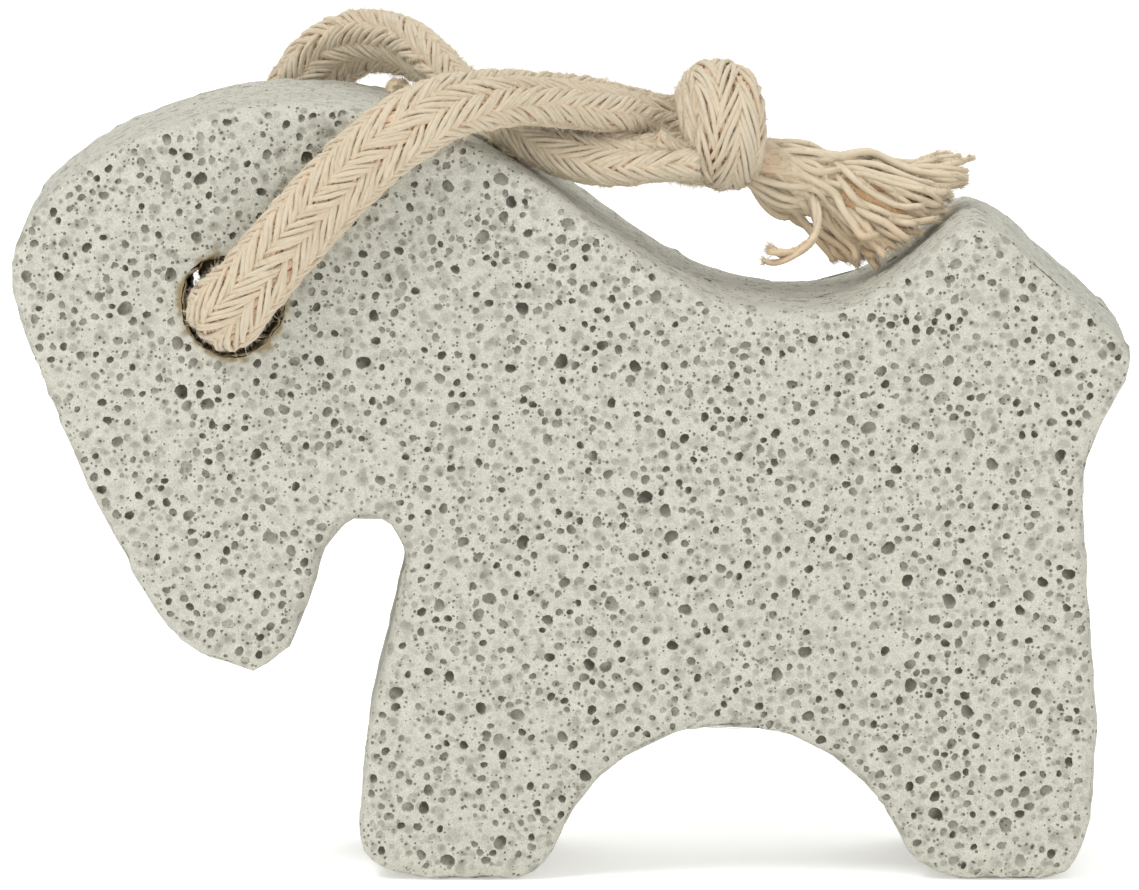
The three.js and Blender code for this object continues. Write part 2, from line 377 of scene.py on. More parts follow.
class Nodes:
    """A short way to add nodes to one node tree and link them."""

    def __init__(self, tree: bpy.types.NodeTree) -> None:
        """Keeps the tree."""
        self.tree = tree

    def add(self, kind: str, inputs: dict | None = None, **settings) -> bpy.types.Node:
        """Adds one node.

        Args:
            kind: Blender's name of the node type.
            inputs: Socket names or numbers with the socket that feeds each, or its constant.
            **settings: Properties of the node itself.

        Returns:
            The node.
        """
        node = self.tree.nodes.new(kind)
        for name, value in settings.items():
            setattr(node, name, value)
        for name, value in (inputs or {}).items():
            if isinstance(value, Socket):
                self.tree.links.new(value, node.inputs[name])
            else:
                node.inputs[name].default_value = value
        return node

    def math(self, operation: str, first: Socket | float, second: Socket | float = 0.0) -> Socket:
        """The result of a sum or product of two values."""
        return self.add("ShaderNodeMath", {0: first, 1: second}, operation=operation).outputs[0]

    def ramp(self, value: Socket, low: Socket | float, high: Socket | float) -> Socket:
        """A value carried smoothly from low..high to 0..1."""
        inputs = {"Value": value, "From Min": low, "From Max": high}
        return self.add("ShaderNodeMapRange", inputs, interpolation_type="SMOOTHSTEP").outputs[0]

    def mix(self, share: Socket | float, first: Socket | Colour, second: Socket | Colour) -> Socket:
        """A colour between two others."""
        node = self.add("ShaderNodeMix", {0: share, 6: first, 7: second}, data_type="RGBA")
        return node.outputs[2]

    def weighted(self, values: tuple[Socket, Socket], shares: Pair) -> Socket:
        """The sum of two values, each times its own share."""
        first, second = (self.math("MULTIPLY", value, share) for value, share in zip(values, shares))
        return self.math("ADD", first, second)

    def attribute(self, name: str, output: str = "Fac") -> Socket:
        """A per-point value of the mesh."""
        return self.add("ShaderNodeAttribute", attribute_name=name).outputs[output]

    def group(self, tree: bpy.types.NodeTree, inputs: dict) -> bpy.types.Node:
        """A shared node group, placed with its own values."""
        return self.add("ShaderNodeGroup", inputs, node_tree=tree)


@dataclass(frozen=True)
class Mottle:
    """Shared effect: soft patches with finer grain on top, as a tone from 0 to 1 and a height."""

    name: str = "soft_mottle"
    tone_shares: Pair = (0.6, 0.4)
    tone_range: Pair = (0.3, 0.7)
    height_shares: Pair = (0.4, 0.6)

    def tree(self) -> bpy.types.NodeTree:
        """The node group, made the first time it is asked for.

        Returns:
            A group with the inputs Vector, Patch Scale and Grain Scale and the outputs Tone and Height.
        """
        if self.name in bpy.data.node_groups:
            return bpy.data.node_groups[self.name]
        tree = bpy.data.node_groups.new(self.name, "ShaderNodeTree")
        tree.interface.new_socket("Vector", in_out="INPUT", socket_type="NodeSocketVector")
        for way, names in (("INPUT", ("Patch Scale", "Grain Scale")), ("OUTPUT", ("Tone", "Height"))):
            for name in names:
                tree.interface.new_socket(name, in_out=way, socket_type="NodeSocketFloat")
        nodes = Nodes(tree)
        given = nodes.add("NodeGroupInput").outputs
        patch = nodes.add(
            "ShaderNodeTexNoise", {"Vector": given[0], "Scale": given[1], "Detail": 3.0, "Roughness": 0.6}
        ).outputs["Fac"]
        grain = nodes.add(
            "ShaderNodeTexNoise", {"Vector": given[0], "Scale": given[2], "Detail": 2.0, "Roughness": 0.65}
        ).outputs["Fac"]
        tone = nodes.ramp(nodes.weighted((patch, grain), self.tone_shares), *self.tone_range)
        height = nodes.weighted((patch, grain), self.height_shares)
        nodes.add("NodeGroupOutput", {"Tone": tone, "Height": height})
        return tree


def new_material(name: str) -> tuple[Material, Nodes, bpy.types.Node]:
    """A node material with a bare Principled shader.

    Args:
        name: Name of the material.

    Returns:
        The material, its nodes and the shader node.
    """
    material = bpy.data.materials.new(name)
    material.use_nodes = True
    nodes = Nodes(material.node_tree)
    return material, nodes, material.node_tree.nodes["Principled BSDF"]


@dataclass(frozen=True)
class Pinholes:
    """Holes too small to model: one to a cell, its radius a random number to a power, times a reach."""

    scale: float
    power: float
    reach: float
    strength: float


@dataclass(frozen=True)
class PumiceFinish:
    """Dry pale grey pumice: grainy skin, painted shade in pinholes, shallow hollows and pores, brown with
    painted shade at the cord hole.
    """

    light: Colour = (0.59, 0.582, 0.505, 1.0)
    dull: Colour = (0.395, 0.39, 0.33, 1.0)
    # Painted shade in the pores, dishes and pinholes.
    hollow: Colour = (0.12, 0.11, 0.082, 1.0)
    # Brown discolouration mixed with painted shade round the cord hole.
    stain: Colour = (0.24, 0.18, 0.09, 1.0)
    hollow_share: float = 0.9
    # Share of painted shade on the walls, which tones down the light on the top wall.
    wall_share: float = 0.3
    roughness: float = 0.95
    specular: float = 0.25
    patch_scale: float = 650.0
    grain_scale: float = 4200.0
    speckle_scale: float = 7500.0
    speckle_range: Pair = (0.33, 0.67)
    tone_shares: Pair = (0.45, 0.55)
    dish_scales: Pair = (620.0, 1150.0)
    dish_share: float = 0.46
    dish_least_reach: float = 0.27
    dish_more_reach: float = 0.33
    dish_floor_share: float = 0.5
    holes: Pinholes = Pinholes(1300.0, 1.6, 0.34, 0.6)
    specks: Pinholes = Pinholes(2600.0, 4.0, 0.46, 0.9)
    pinhole_edge: float = 0.07
    stain_scale: float = 900.0
    stain_unevenness: float = 2.4 * MM
    stain_reach: Pair = (0.9 * MM, 0.05 * MM)
    stain_share: float = 0.88
    bump_distance: float = 0.12 * MM
    bump_strength: float = 0.55

    def material(self, hole_centre: Triple, hole_radius: float) -> Material:
        """Builds the material.

        Args:
            hole_centre: Middle of the cord hole.
            hole_radius: Its radius.

        Returns:
            The pumice material, which reads the point values hollow and wall.
        """
        material, nodes, shader = new_material("pumice")
        place = nodes.add("ShaderNodeTexCoord").outputs["Object"]
        mottle = nodes.group(
            Mottle().tree(),
            {"Vector": place, "Patch Scale": self.patch_scale, "Grain Scale": self.grain_scale},
        )
        speckle = nodes.add(
            "ShaderNodeTexNoise", {"Vector": place, "Scale": self.speckle_scale, "Detail": 1.0}
        ).outputs["Fac"]
        speckled = nodes.ramp(speckle, *self.speckle_range)
        tone = nodes.weighted((mottle.outputs["Tone"], speckled), self.tone_shares)
        # Dishes and pinholes are hollows too small to model; their painted shade is mixed in below.
        wide, narrow = (self.dishes(nodes, place, scale) for scale in self.dish_scales)
        dish = nodes.math("MAXIMUM", wide, narrow)
        pinhole = nodes.math(
            "MAXIMUM", self.pinholes(nodes, place, self.holes), self.pinholes(nodes, place, self.specks)
        )
        # Painted shade: the walls are mixed towards the dull colour, to tone down the light on the top wall.
        wall = nodes.math("MULTIPLY", nodes.attribute("wall"), self.wall_share)
        skin_colour = nodes.mix(wall, nodes.mix(tone, self.dull, self.light), self.dull)
        # Painted shade in the dishes, the pinholes and the modelled pores, mixed towards the dark pore shade
        # colour.
        dished = nodes.mix(nodes.math("MULTIPLY", dish, self.dish_share), skin_colour, self.hollow)
        pinholed = nodes.mix(pinhole, dished, self.hollow)
        hollow = nodes.attribute("hollow")
        floor = nodes.mix(nodes.math("MULTIPLY", hollow, self.hollow_share), pinholed, self.hollow)
        # Brown discolouration with painted shade, strongest at the mouth of the cord hole.
        stain = self.stain_mask(nodes, place, hole_centre, hole_radius)
        shader_colour = nodes.mix(stain, floor, self.stain)
        height = nodes.math("SUBTRACT", mottle.outputs["Height"], wide)
        bump = nodes.add(
            "ShaderNodeBump",
            {"Strength": self.bump_strength, "Distance": self.bump_distance, "Height": height},
        )
        nodes.tree.links.new(shader_colour, shader.inputs["Base Color"])
        nodes.tree.links.new(bump.outputs["Normal"], shader.inputs["Normal"])
        shader.inputs["Roughness"].default_value = self.roughness
        shader.inputs["Specular IOR Level"].default_value = self.specular
        return material

    def dishes(self, nodes: Nodes, place: Socket, scale: float) -> Socket:
        """Painted shade of faint shallow hollows: soft discs about random cell points, each of its own
        strength.

        Args:
            nodes: Nodes of the material.
            place: Coordinates of the surface.
            scale: Cells to a metre.

        Returns:
            Up to 1 in the middle of a dish and 0 outside.
        """
        cells = nodes.add("ShaderNodeTexVoronoi", {"Vector": place, "Scale": scale})
        random = nodes.add("ShaderNodeSeparateColor", {"Color": cells.outputs["Color"]}).outputs
        more = nodes.math("MULTIPLY", random["Green"], self.dish_more_reach)
        reach = nodes.math("ADD", self.dish_least_reach, more)
        inner = nodes.math("MULTIPLY", reach, self.dish_floor_share)
        disc = nodes.math("SUBTRACT", 1.0, nodes.ramp(cells.outputs["Distance"], inner, reach))
        return nodes.math("MULTIPLY", disc, random["Blue"])

    def pinholes(self, nodes: Nodes, place: Socket, size: Pinholes) -> Socket:
        """Painted shade of holes too small to model: discs about random cell points, each with its own
        radius.

        Args:
            nodes: Nodes of the material.
            place: Coordinates of the surface.
            size: Size and strength of the holes.

        Returns:
            The strength in a pinhole and 0 outside.
        """
        cells = nodes.add("ShaderNodeTexVoronoi", {"Vector": place, "Scale": size.scale})
        random = nodes.add("ShaderNodeSeparateColor", {"Color": cells.outputs["Color"]}).outputs["Red"]
        radius = nodes.math("MULTIPLY", nodes.math("POWER", random, size.power), size.reach)
        inner = nodes.math("SUBTRACT", radius, self.pinhole_edge)
        disc = nodes.math("SUBTRACT", 1.0, nodes.ramp(cells.outputs["Distance"], inner, radius))
        return nodes.math("MULTIPLY", disc, size.strength)

    def stain_mask(self, nodes: Nodes, place: Socket, centre: Triple, radius: float) -> Socket:
        """Mask of the brown discolouration and painted shade that fade out just past the mouth of the hole.

        Args:
            nodes: Nodes of the material.
            place: Coordinates of the surface.
            centre: A point on the axis of the hole.
            radius: Radius of the hole.

        Returns:
            The share of brown discolouration and painted shade.
        """
        flat = nodes.add(
            "ShaderNodeVectorMath", {0: place, 1: (1.0, 0.0, 1.0)}, operation="MULTIPLY"
        ).outputs[0]
        distance = nodes.add(
            "ShaderNodeVectorMath", {0: flat, 1: centre}, operation="DISTANCE"
        ).outputs["Value"]
        blotch = nodes.add("ShaderNodeTexNoise", {"Vector": place, "Scale": self.stain_scale, "Detail": 2.0})
        either_way = nodes.math("SUBTRACT", blotch.outputs["Fac"], 0.5)
        uneven = nodes.math("MULTIPLY", either_way, self.stain_unevenness)
        clean, darkest = (radius + reach for reach in self.stain_reach)
        mask = nodes.ramp(nodes.math("ADD", distance, uneven), clean, darkest)
        return nodes.math("MULTIPLY", mask, self.stain_share)


@dataclass(frozen=True)
class CottonFinish:
    """Soft cream cotton with fine fibres along the twist, paler on top, with painted warm brown shade
    between the yarns.
    """

    name: str
    light: Colour
    dull: Colour
    # Painted warm shade between the yarns and on their undersides.
    deep: Colour = (0.78, 0.53, 0.33, 1.0)
    # Painted darker shade on the cores and the deepest undersides.
    hidden: Colour = (0.47, 0.30, 0.155, 1.0)
    roughness: float = 0.9
    patch_scale: float = 900.0
    fibre_scale: float = 7000.0
    tone_shares: Pair = (0.6, 0.4)
    crevice_range: Pair = (0.12, 0.85)
    crevice_share: float = 0.85
    hidden_range: Pair = (0.8, 1.0)
    bump_distance: float = 0.06 * MM
    bump_strength: float = 0.7
    specular: float = 0.15
    sheen: float = 0.2
    sheen_roughness: float = 0.6

    def material(self) -> Material:
        """Builds the material.

        Returns:
            The cotton material, which reads the point values tone, depth and fibre.
        """
        material, nodes, shader = new_material(self.name)
        fibre = nodes.group(
            Mottle().tree(),
            {
                "Vector": nodes.attribute("fibre", "Vector"),
                "Patch Scale": self.patch_scale,
                "Grain Scale": self.fibre_scale,
            },
        )
        tone = nodes.weighted((fibre.outputs["Tone"], nodes.attribute("tone")), self.tone_shares)
        yarn = nodes.mix(tone, self.dull, self.light)
        # Painted shade from the depth value: warm brown between and under the yarns, darker on the cores.
        depth = nodes.attribute("depth")
        crevice = nodes.math("MULTIPLY", nodes.ramp(depth, *self.crevice_range), self.crevice_share)
        shaded = nodes.mix(crevice, yarn, self.deep)
        colour = nodes.mix(nodes.ramp(depth, *self.hidden_range), shaded, self.hidden)
        bump = nodes.add(
            "ShaderNodeBump",
            {
                "Strength": self.bump_strength,
                "Distance": self.bump_distance,
                "Height": fibre.outputs["Height"],
            },
        )
        nodes.tree.links.new(colour, shader.inputs["Base Color"])
        nodes.tree.links.new(bump.outputs["Normal"], shader.inputs["Normal"])
        shader.inputs["Roughness"].default_value = self.roughness
        shader.inputs["Specular IOR Level"].default_value = self.specular
        shader.inputs["Sheen Weight"].default_value = self.sheen
        shader.inputs["Sheen Roughness"].default_value = self.sheen_roughness
        return material


@dataclass(frozen=True)
class FloorFinish:
    """Plain pale studio floor with the faintest unevenness."""

    light: Colour = (0.93, 0.93, 0.93, 1.0)
    dull: Colour = (0.91, 0.91, 0.91, 1.0)
    roughness: float = 0.7
    patch_scale: float = 4.0
    grain_scale: float = 40.0
    glow: float = 0.35

    def material(self) -> Material:
        """Builds the material, which glows a little like a lit white sweep.

        Returns:
            The floor material.
        """
        material, nodes, shader = new_material("pale_floor")
        place = nodes.add("ShaderNodeTexCoord").outputs["Object"]
        mottle = nodes.group(
            Mottle().tree(),
            {"Vector": place, "Patch Scale": self.patch_scale, "Grain Scale": self.grain_scale},
        )
        colour = nodes.mix(mottle.outputs["Tone"], self.dull, self.light)
        nodes.tree.links.new(colour, shader.inputs["Base Color"])
        shader.inputs["Roughness"].default_value = self.roughness
        shader.inputs["Emission Color"].default_value = self.light
        shader.inputs["Emission Strength"].default_value = self.glow
        return material


@dataclass(frozen=True)
class Lamp:
    """A large square soft light that looks at the stone."""

    name: str
    place: Triple
    size: float
    watts: float


@dataclass
class Studio:
    """Camera at the photograph's angle, soft lights, white surroundings and a pale floor."""

    target: Vector = field(default_factory=lambda: Vector((0.0, 0.0, 0.037855)))
    camera_distance: float = 1.0
    camera_elevation: float = math.radians(7.5)
    focal_pixels: float = 11050.0
    image_width_pixels: float = 1139.0
    sensor_width: float = 36.0
    floor_size: float = 8.0
    floor_points: int = 3
    world_strength: float = 0.74
    lamps: tuple[Lamp, ...] = (
        Lamp("key_light", (-0.45, -0.45, 0.95), 0.45, 6.0),
        Lamp("fill_light", (0.7, -0.8, 0.45), 0.9, 2.0),
        Lamp("back_light", (0.1, 0.8, 0.8), 0.8, 2.5),
    )

    def place_camera(self) -> None:
        """Makes the camera, which looks at the target from the front and a little above."""
        lens = bpy.data.cameras.new("photo_camera")
        lens.sensor_fit = "HORIZONTAL"
        lens.sensor_width = self.sensor_width
        lens.lens = self.focal_pixels * self.sensor_width / self.image_width_pixels
        lens.clip_start = 0.05
        lens.clip_end = 50.0
        camera = bpy.data.objects.new("photo_camera", lens)
        back = Vector((0.0, -math.cos(self.camera_elevation), math.sin(self.camera_elevation)))
        camera.location = self.target + self.camera_distance * back
        camera.rotation_euler = (-back).to_track_quat("-Z", "Y").to_euler()
        bpy.context.scene.collection.objects.link(camera)
        bpy.context.scene.camera = camera

    def light(self) -> None:
        """Makes the lamps and the white surroundings, and keeps colours as they are lit."""
        for lamp in self.lamps:
            data = bpy.data.lights.new(lamp.name, "AREA")
            data.shape = "SQUARE"
            data.size = lamp.size
            data.energy = lamp.watts
            light = bpy.data.objects.new(lamp.name, data)
            light.location = lamp.place
            light.rotation_euler = (self.target - light.location).to_track_quat("-Z", "Y").to_euler()
            bpy.context.scene.collection.objects.link(light)
        world = bpy.data.worlds.new("white_surroundings")
        world.use_nodes = True
        background = world.node_tree.nodes["Background"]
        background.inputs["Color"].default_value = (1.0, 1.0, 1.0, 1.0)
        background.inputs["Strength"].default_value = self.world_strength
        bpy.context.scene.world = world
        bpy.context.scene.view_settings.view_transform = "Standard"

    def lay_floor(self) -> Piece:
        """Makes the floor, a flat grid under the soles.

        Returns:
            The floor object.
        """
        half = self.floor_size / 2.0
        across = np.linspace(-half, half, self.floor_points)
        x, y = np.meshgrid(across, across)
        index = np.arange(x.size).reshape(x.shape)
        quads = np.stack([index[:-1, :-1], index[:-1, 1:], index[1:, 1:], index[1:, :-1]], axis=-1)
        points = np.stack([x, y, np.zeros_like(x)], axis=-1).reshape(-1, 3)
        grid = Surface(points, quads.reshape(-1, 4), NO_TRIANGLES, {})
        floor = grid.to_object("studio_floor", FloorFinish().material(), [])
        return floor


@dataclass(frozen=True)
class Braid:
    """Yarn bundles that spiral both ways round a flat tube, each over three others and under three."""

    half_width: float
    half_thickness: float
    lay_length: float
    yarn_radius: float = 0.25 * MM
    wave: float = 0.23 * MM
    dome: float = 0.06 * MM
    bundles_each_way: int = 12
    columns: int = 8
    yarns_per_bundle: int = 3
    bundle_squeeze: float = 0.82
    snap: float = 1.3
    squareness: float = 0.8
    sides: int = 6
    core_sides: int = 16
    twist: float = 900.0
    seed: int = 7
    sway: float = 0.75
    bob: float = 0.5
    wander_waves: int = 3
    wander_lengths: Pair = (3.0 * MM, 12.0 * MM)
    section_points: int = 721
    # Shares of painted shade where a yarn dives under and on its underside.
    dive_depth: float = 0.55
    under_depth: float = 0.6
    fibre_run: float = 0.12
    fibre_apart: float = 10.0 * MM
    core_wave_share: float = 2.0
    core_yarn_share: float = 1.2
    core_stride: int = 2

    def yarn_lines(self, ribbon: Ribbon, squeeze: Array) -> tuple[Array, Array, Array]:
        """Centre lines of all yarns.

        A yarn's place round the section is a share of the outline that grows with the length, one way or
        the other. The outline is parted into columns where one way or the other lies on top: the lift is the
        direction times tanh of a cosine with one turn to two columns, so that it snaps from over to under.
        The middle yarn of a bundle lies highest.

        Args:
            ribbon: Centre line of the cord.
            squeeze: Share of the full thickness and width at each step.

        Returns:
            Points for each yarn and step, the outward direction there, and the lift from -1 to 1.
        """
        rng = np.random.default_rng(self.seed)
        each_way = self.bundles_each_way * self.yarns_per_bundle
        bundle, yarn = np.divmod(np.arange(each_way), self.yarns_per_bundle)
        place = yarn - (self.yarns_per_bundle - 1) / 2.0
        start = bundle / self.bundles_each_way + self.bundle_squeeze * place / each_way
        crown = np.tile(self.dome * (0.5 - place**2), 2)[:, None]
        way = np.repeat([1.0, -1.0], each_way)[:, None]
        drift = self.drift(rng, ribbon, 2 * each_way)
        share = np.tile(start, 2)[:, None] + way * ribbon.along / self.lay_length
        share = share + self.sway * drift / each_way
        over = np.cos(TURN * self.columns / 2.0 * share)
        lift = way * np.tanh(self.snap * over) / math.tanh(self.snap)
        section, normal = self.section(share)
        bobbing = self.bob * self.yarn_radius * self.drift(rng, ribbon, 2 * each_way)
        rise = self.wave * lift + crown + bobbing
        out = squeeze[:, 0] * section[..., 0] + normal[..., 0] * rise
        side = squeeze[:, 1] * section[..., 1] + normal[..., 1] * rise
        lines = ribbon.points + out[..., None] * ribbon.outward + side[..., None] * ribbon.sideways
        outward = normal[..., :1] * ribbon.outward + normal[..., 1:] * ribbon.sideways
        return lines, outward, lift

    def drift(self, rng: np.random.Generator, ribbon: Ribbon, count: int) -> Array:
        """Slow random wander along each yarn, the mean of a few sines of random length and phase.

        Args:
            rng: Source of the random numbers.
            ribbon: Centre line of the cord.
            count: Number of yarns.

        Returns:
            One value for each yarn and step, about -1 to 1.
        """
        shape = (self.wander_waves, count, 1)
        numbers = TURN / rng.uniform(*self.wander_lengths, shape)
        phases = rng.uniform(0.0, TURN, shape)
        return np.sin(numbers * ribbon.along + phases).mean(axis=0)

    def section(self, share: Array) -> tuple[Array, Array]:
        """Places on the flat section where the yarns cross, and the ways out of it.

        The section is a rounded rectangle: half the thickness times a power of the cosine and half the width
        times the same power of the sine, read at even shares of its arc length.

        Args:
            share: Shares of the outline, any number of turns.

        Returns:
            Points and unit normals, each as thickness and width.
        """
        inset = self.wave + self.yarn_radius
        angle = np.linspace(0.0, TURN, self.section_points)
        round_way = np.stack([np.cos(angle), np.sin(angle)], axis=1)
        half = np.array([self.half_thickness - inset, self.half_width - inset])
        line = half * np.sign(round_way) * np.abs(round_way) ** self.squareness
        lengths = lengths_along(line)
        normals = np.gradient(line, axis=0)[:, ::-1] * np.array([1.0, -1.0])
        at = (share % 1.0) * lengths[-1]
        return read_at(at, lengths, line), unit(read_at(at, lengths, unit(normals)))

    def surface(self, ribbon: Ribbon, squeeze: Array) -> Surface:
        """Yarn tubes and the core in painted shade that closes the gaps between them.

        The point value depth, which the finish turns into painted shade, is 0 on top of a yarn that lies
        over and grows towards its underside and where it dives. The fibre value is a place that turns with
        the twist of the yarn and runs slowly along it.

        Args:
            ribbon: Centre line of the cord.
            squeeze: Share of the full thickness and width at each step.

        Returns:
            The braid with the values tone, depth and fibre.
        """
        lines, outward, lift = self.yarn_lines(ribbon, squeeze)
        yarns = tubes_along(lines, self.yarn_radius, outward, self.sides)
        tube, step = yarns.values["tube"], yarns.values["step"]
        angle = TURN * yarns.values["side"] / self.sides
        tones = np.random.default_rng(self.seed + 1).uniform(0.0, 1.0, len(lines))
        low = 0.5 - 0.5 * lift[tube, step]
        under = 0.5 - 0.5 * np.cos(angle)
        turned = angle + self.twist * ribbon.along[step]
        run = self.fibre_run * ribbon.along[step] + self.fibre_apart * tones[tube]
        yarns.values = {
            "tone": tones[tube],
            "depth": np.clip(self.dive_depth * low + self.under_depth * under, 0.0, 1.0),
            "fibre": twisted_fibre(self.yarn_radius, turned, run),
        }
        return Surface.joined([yarns, self.core(ribbon, squeeze)])

    def core(self, ribbon: Ribbon, squeeze: Array) -> Surface:
        """A plain elliptic tube inside the yarns, in painted shade.

        Args:
            ribbon: Centre line of the cord.
            squeeze: Share of the full thickness and width at each step.

        Returns:
            The core with the values tone, depth and fibre.
        """
        inset = self.core_wave_share * self.wave + self.core_yarn_share * self.yarn_radius
        angles = TURN * np.arange(self.core_sides)[:, None] / self.core_sides
        some = slice(None, None, self.core_stride)
        thick, wide = squeeze[some].T[..., None, None]
        out = thick * (self.half_thickness - inset) * np.cos(angles) * ribbon.outward[some, None]
        side = wide * (self.half_width - inset) * np.sin(angles) * ribbon.sideways[some, None]
        return plain_cotton(skin((ribbon.points[some, None] + out + side)[None]), tone=0.0, depth=1.0)


@dataclass(frozen=True)
class Fuzz:
    """Loose fibres that stand out of the yarns: thin three-sided hairs, long bent ones and short spikes."""

    radius: float = 0.02 * MM
    steps: int = 4
    seed: int = 41
    long_hairs: int = 2600
    short_hairs: int = 29000
    long_length: float = 1.1 * MM
    short_length: float = 0.65 * MM
    size_range: Pair = (0.5, 1.5)
    tone_range: Pair = (0.3, 1.0)
    tip_thinning: float = 0.67
    root_share: float = 0.85
    lean: float = 1.4
    trail: float = 0.6
    scatter: float = 0.6
    curl: float = 0.5
    skew: Triple = (0.3 * MM, 0.2 * MM, 0.9 * MM)
    aside: Triple = (0.31, 0.52, 0.79)

    def surface(self, roots: Array, ways: Array, bends: Array) -> Surface:
        """All hairs at once.

        A hair's point at share t is the root plus t times the way plus t squared times the bend, and its
        radius shrinks to a third at the tip.

        Args:
            roots: Where the hairs start.
            ways: Straight part of each hair, as long as the hair.
            bends: Sideways move of each tip.

        Returns:
            The hairs with the values tone, depth and fibre.
        """
        share = np.linspace(0.0, 1.0, self.steps)[None, :, None]
        lines = roots[:, None] + share * ways[:, None] + share**2 * bends[:, None]
        radii = self.radius * (1.0 - self.tip_thinning * share)
        across = np.cross(ways, bends + np.array(self.skew))
        hairs = tubes_along(lines, radii, across[:, None], 3)
        tones = np.random.default_rng(self.seed).uniform(*self.tone_range, len(roots))
        hairs.values = {
            "tone": tones[hairs.values["tube"]],
            "depth": np.zeros(len(hairs.points)),
            "fibre": hairs.points,
        }
        return hairs

    def spikes(self, roots: Array, ways: Array) -> Surface:
        """Short straight hairs, each a slim spike from a three-sided base to a point.

        Args:
            roots: Where the hairs start.
            ways: From each root to its tip.

        Returns:
            The hairs with the values tone, depth and fibre.
        """
        along = unit(ways)
        across = square_to(np.broadcast_to(np.array(self.aside), along.shape), along)
        angles = TURN * np.arange(3)[:, None] / 3.0
        spokes = np.cos(angles) * across[:, None] + np.sin(angles) * np.cross(along, across)[:, None]
        corners = np.concatenate([roots[:, None] + self.radius * spokes, (roots + ways)[:, None]], axis=1)
        pattern = np.array([[0, 1, 3], [1, 2, 3], [2, 0, 3], [0, 2, 1]])
        triangles = 4 * np.arange(len(roots))[:, None, None] + pattern
        tones = np.random.default_rng(self.seed).uniform(*self.tone_range, len(roots))
        points = corners.reshape(-1, 3)
        values = {"tone": np.repeat(tones, 4), "depth": np.zeros(len(points)), "fibre": points}
        return Surface(points, NO_QUADS, triangles.reshape(-1, 3), values)

    def over(self, lines: Array, outward: Array, reach: float, shown: Array) -> Surface:
        """Hairs on yarns: a few long ones that trail along them and a nap of short spikes.

        Args:
            lines: Centre lines of the yarns.
            outward: Outward direction for each yarn and step.
            reach: Radius of the yarns.
            shown: True for each yarn and step that lies on the outside.

        Returns:
            The hairs.
        """
        rng = np.random.default_rng(self.seed)
        tangents = unit(np.gradient(lines, axis=1))
        normals = square_to(np.broadcast_to(outward, lines.shape), tangents)
        places = np.argwhere(shown)
        count = self.long_hairs + self.short_hairs
        tube, step = places[rng.integers(0, len(places), count)].T
        tangent = tangents[tube, step] * rng.choice([-1.0, 1.0], (count, 1))
        lean = rng.uniform(-self.lean, self.lean, (count, 1))
        third = np.cross(tangent, normals[tube, step])
        out = np.cos(lean) * normals[tube, step] + np.sin(lean) * third
        roots = lines[tube, step] + self.root_share * reach * out
        ways = unit(out + self.trail * tangent + self.scatter * rng.normal(size=(count, 3)))
        size = rng.uniform(*self.size_range, (count, 1))
        cut = self.long_hairs
        bends = self.curl * self.long_length * size[:cut] * rng.normal(size=(cut, 3))
        trailing = self.surface(roots[:cut], self.long_length * size[:cut] * ways[:cut], bends)
        nap = self.spikes(roots[cut:], self.short_length * size[cut:] * ways[cut:])
        return Surface.joined([trailing, nap])


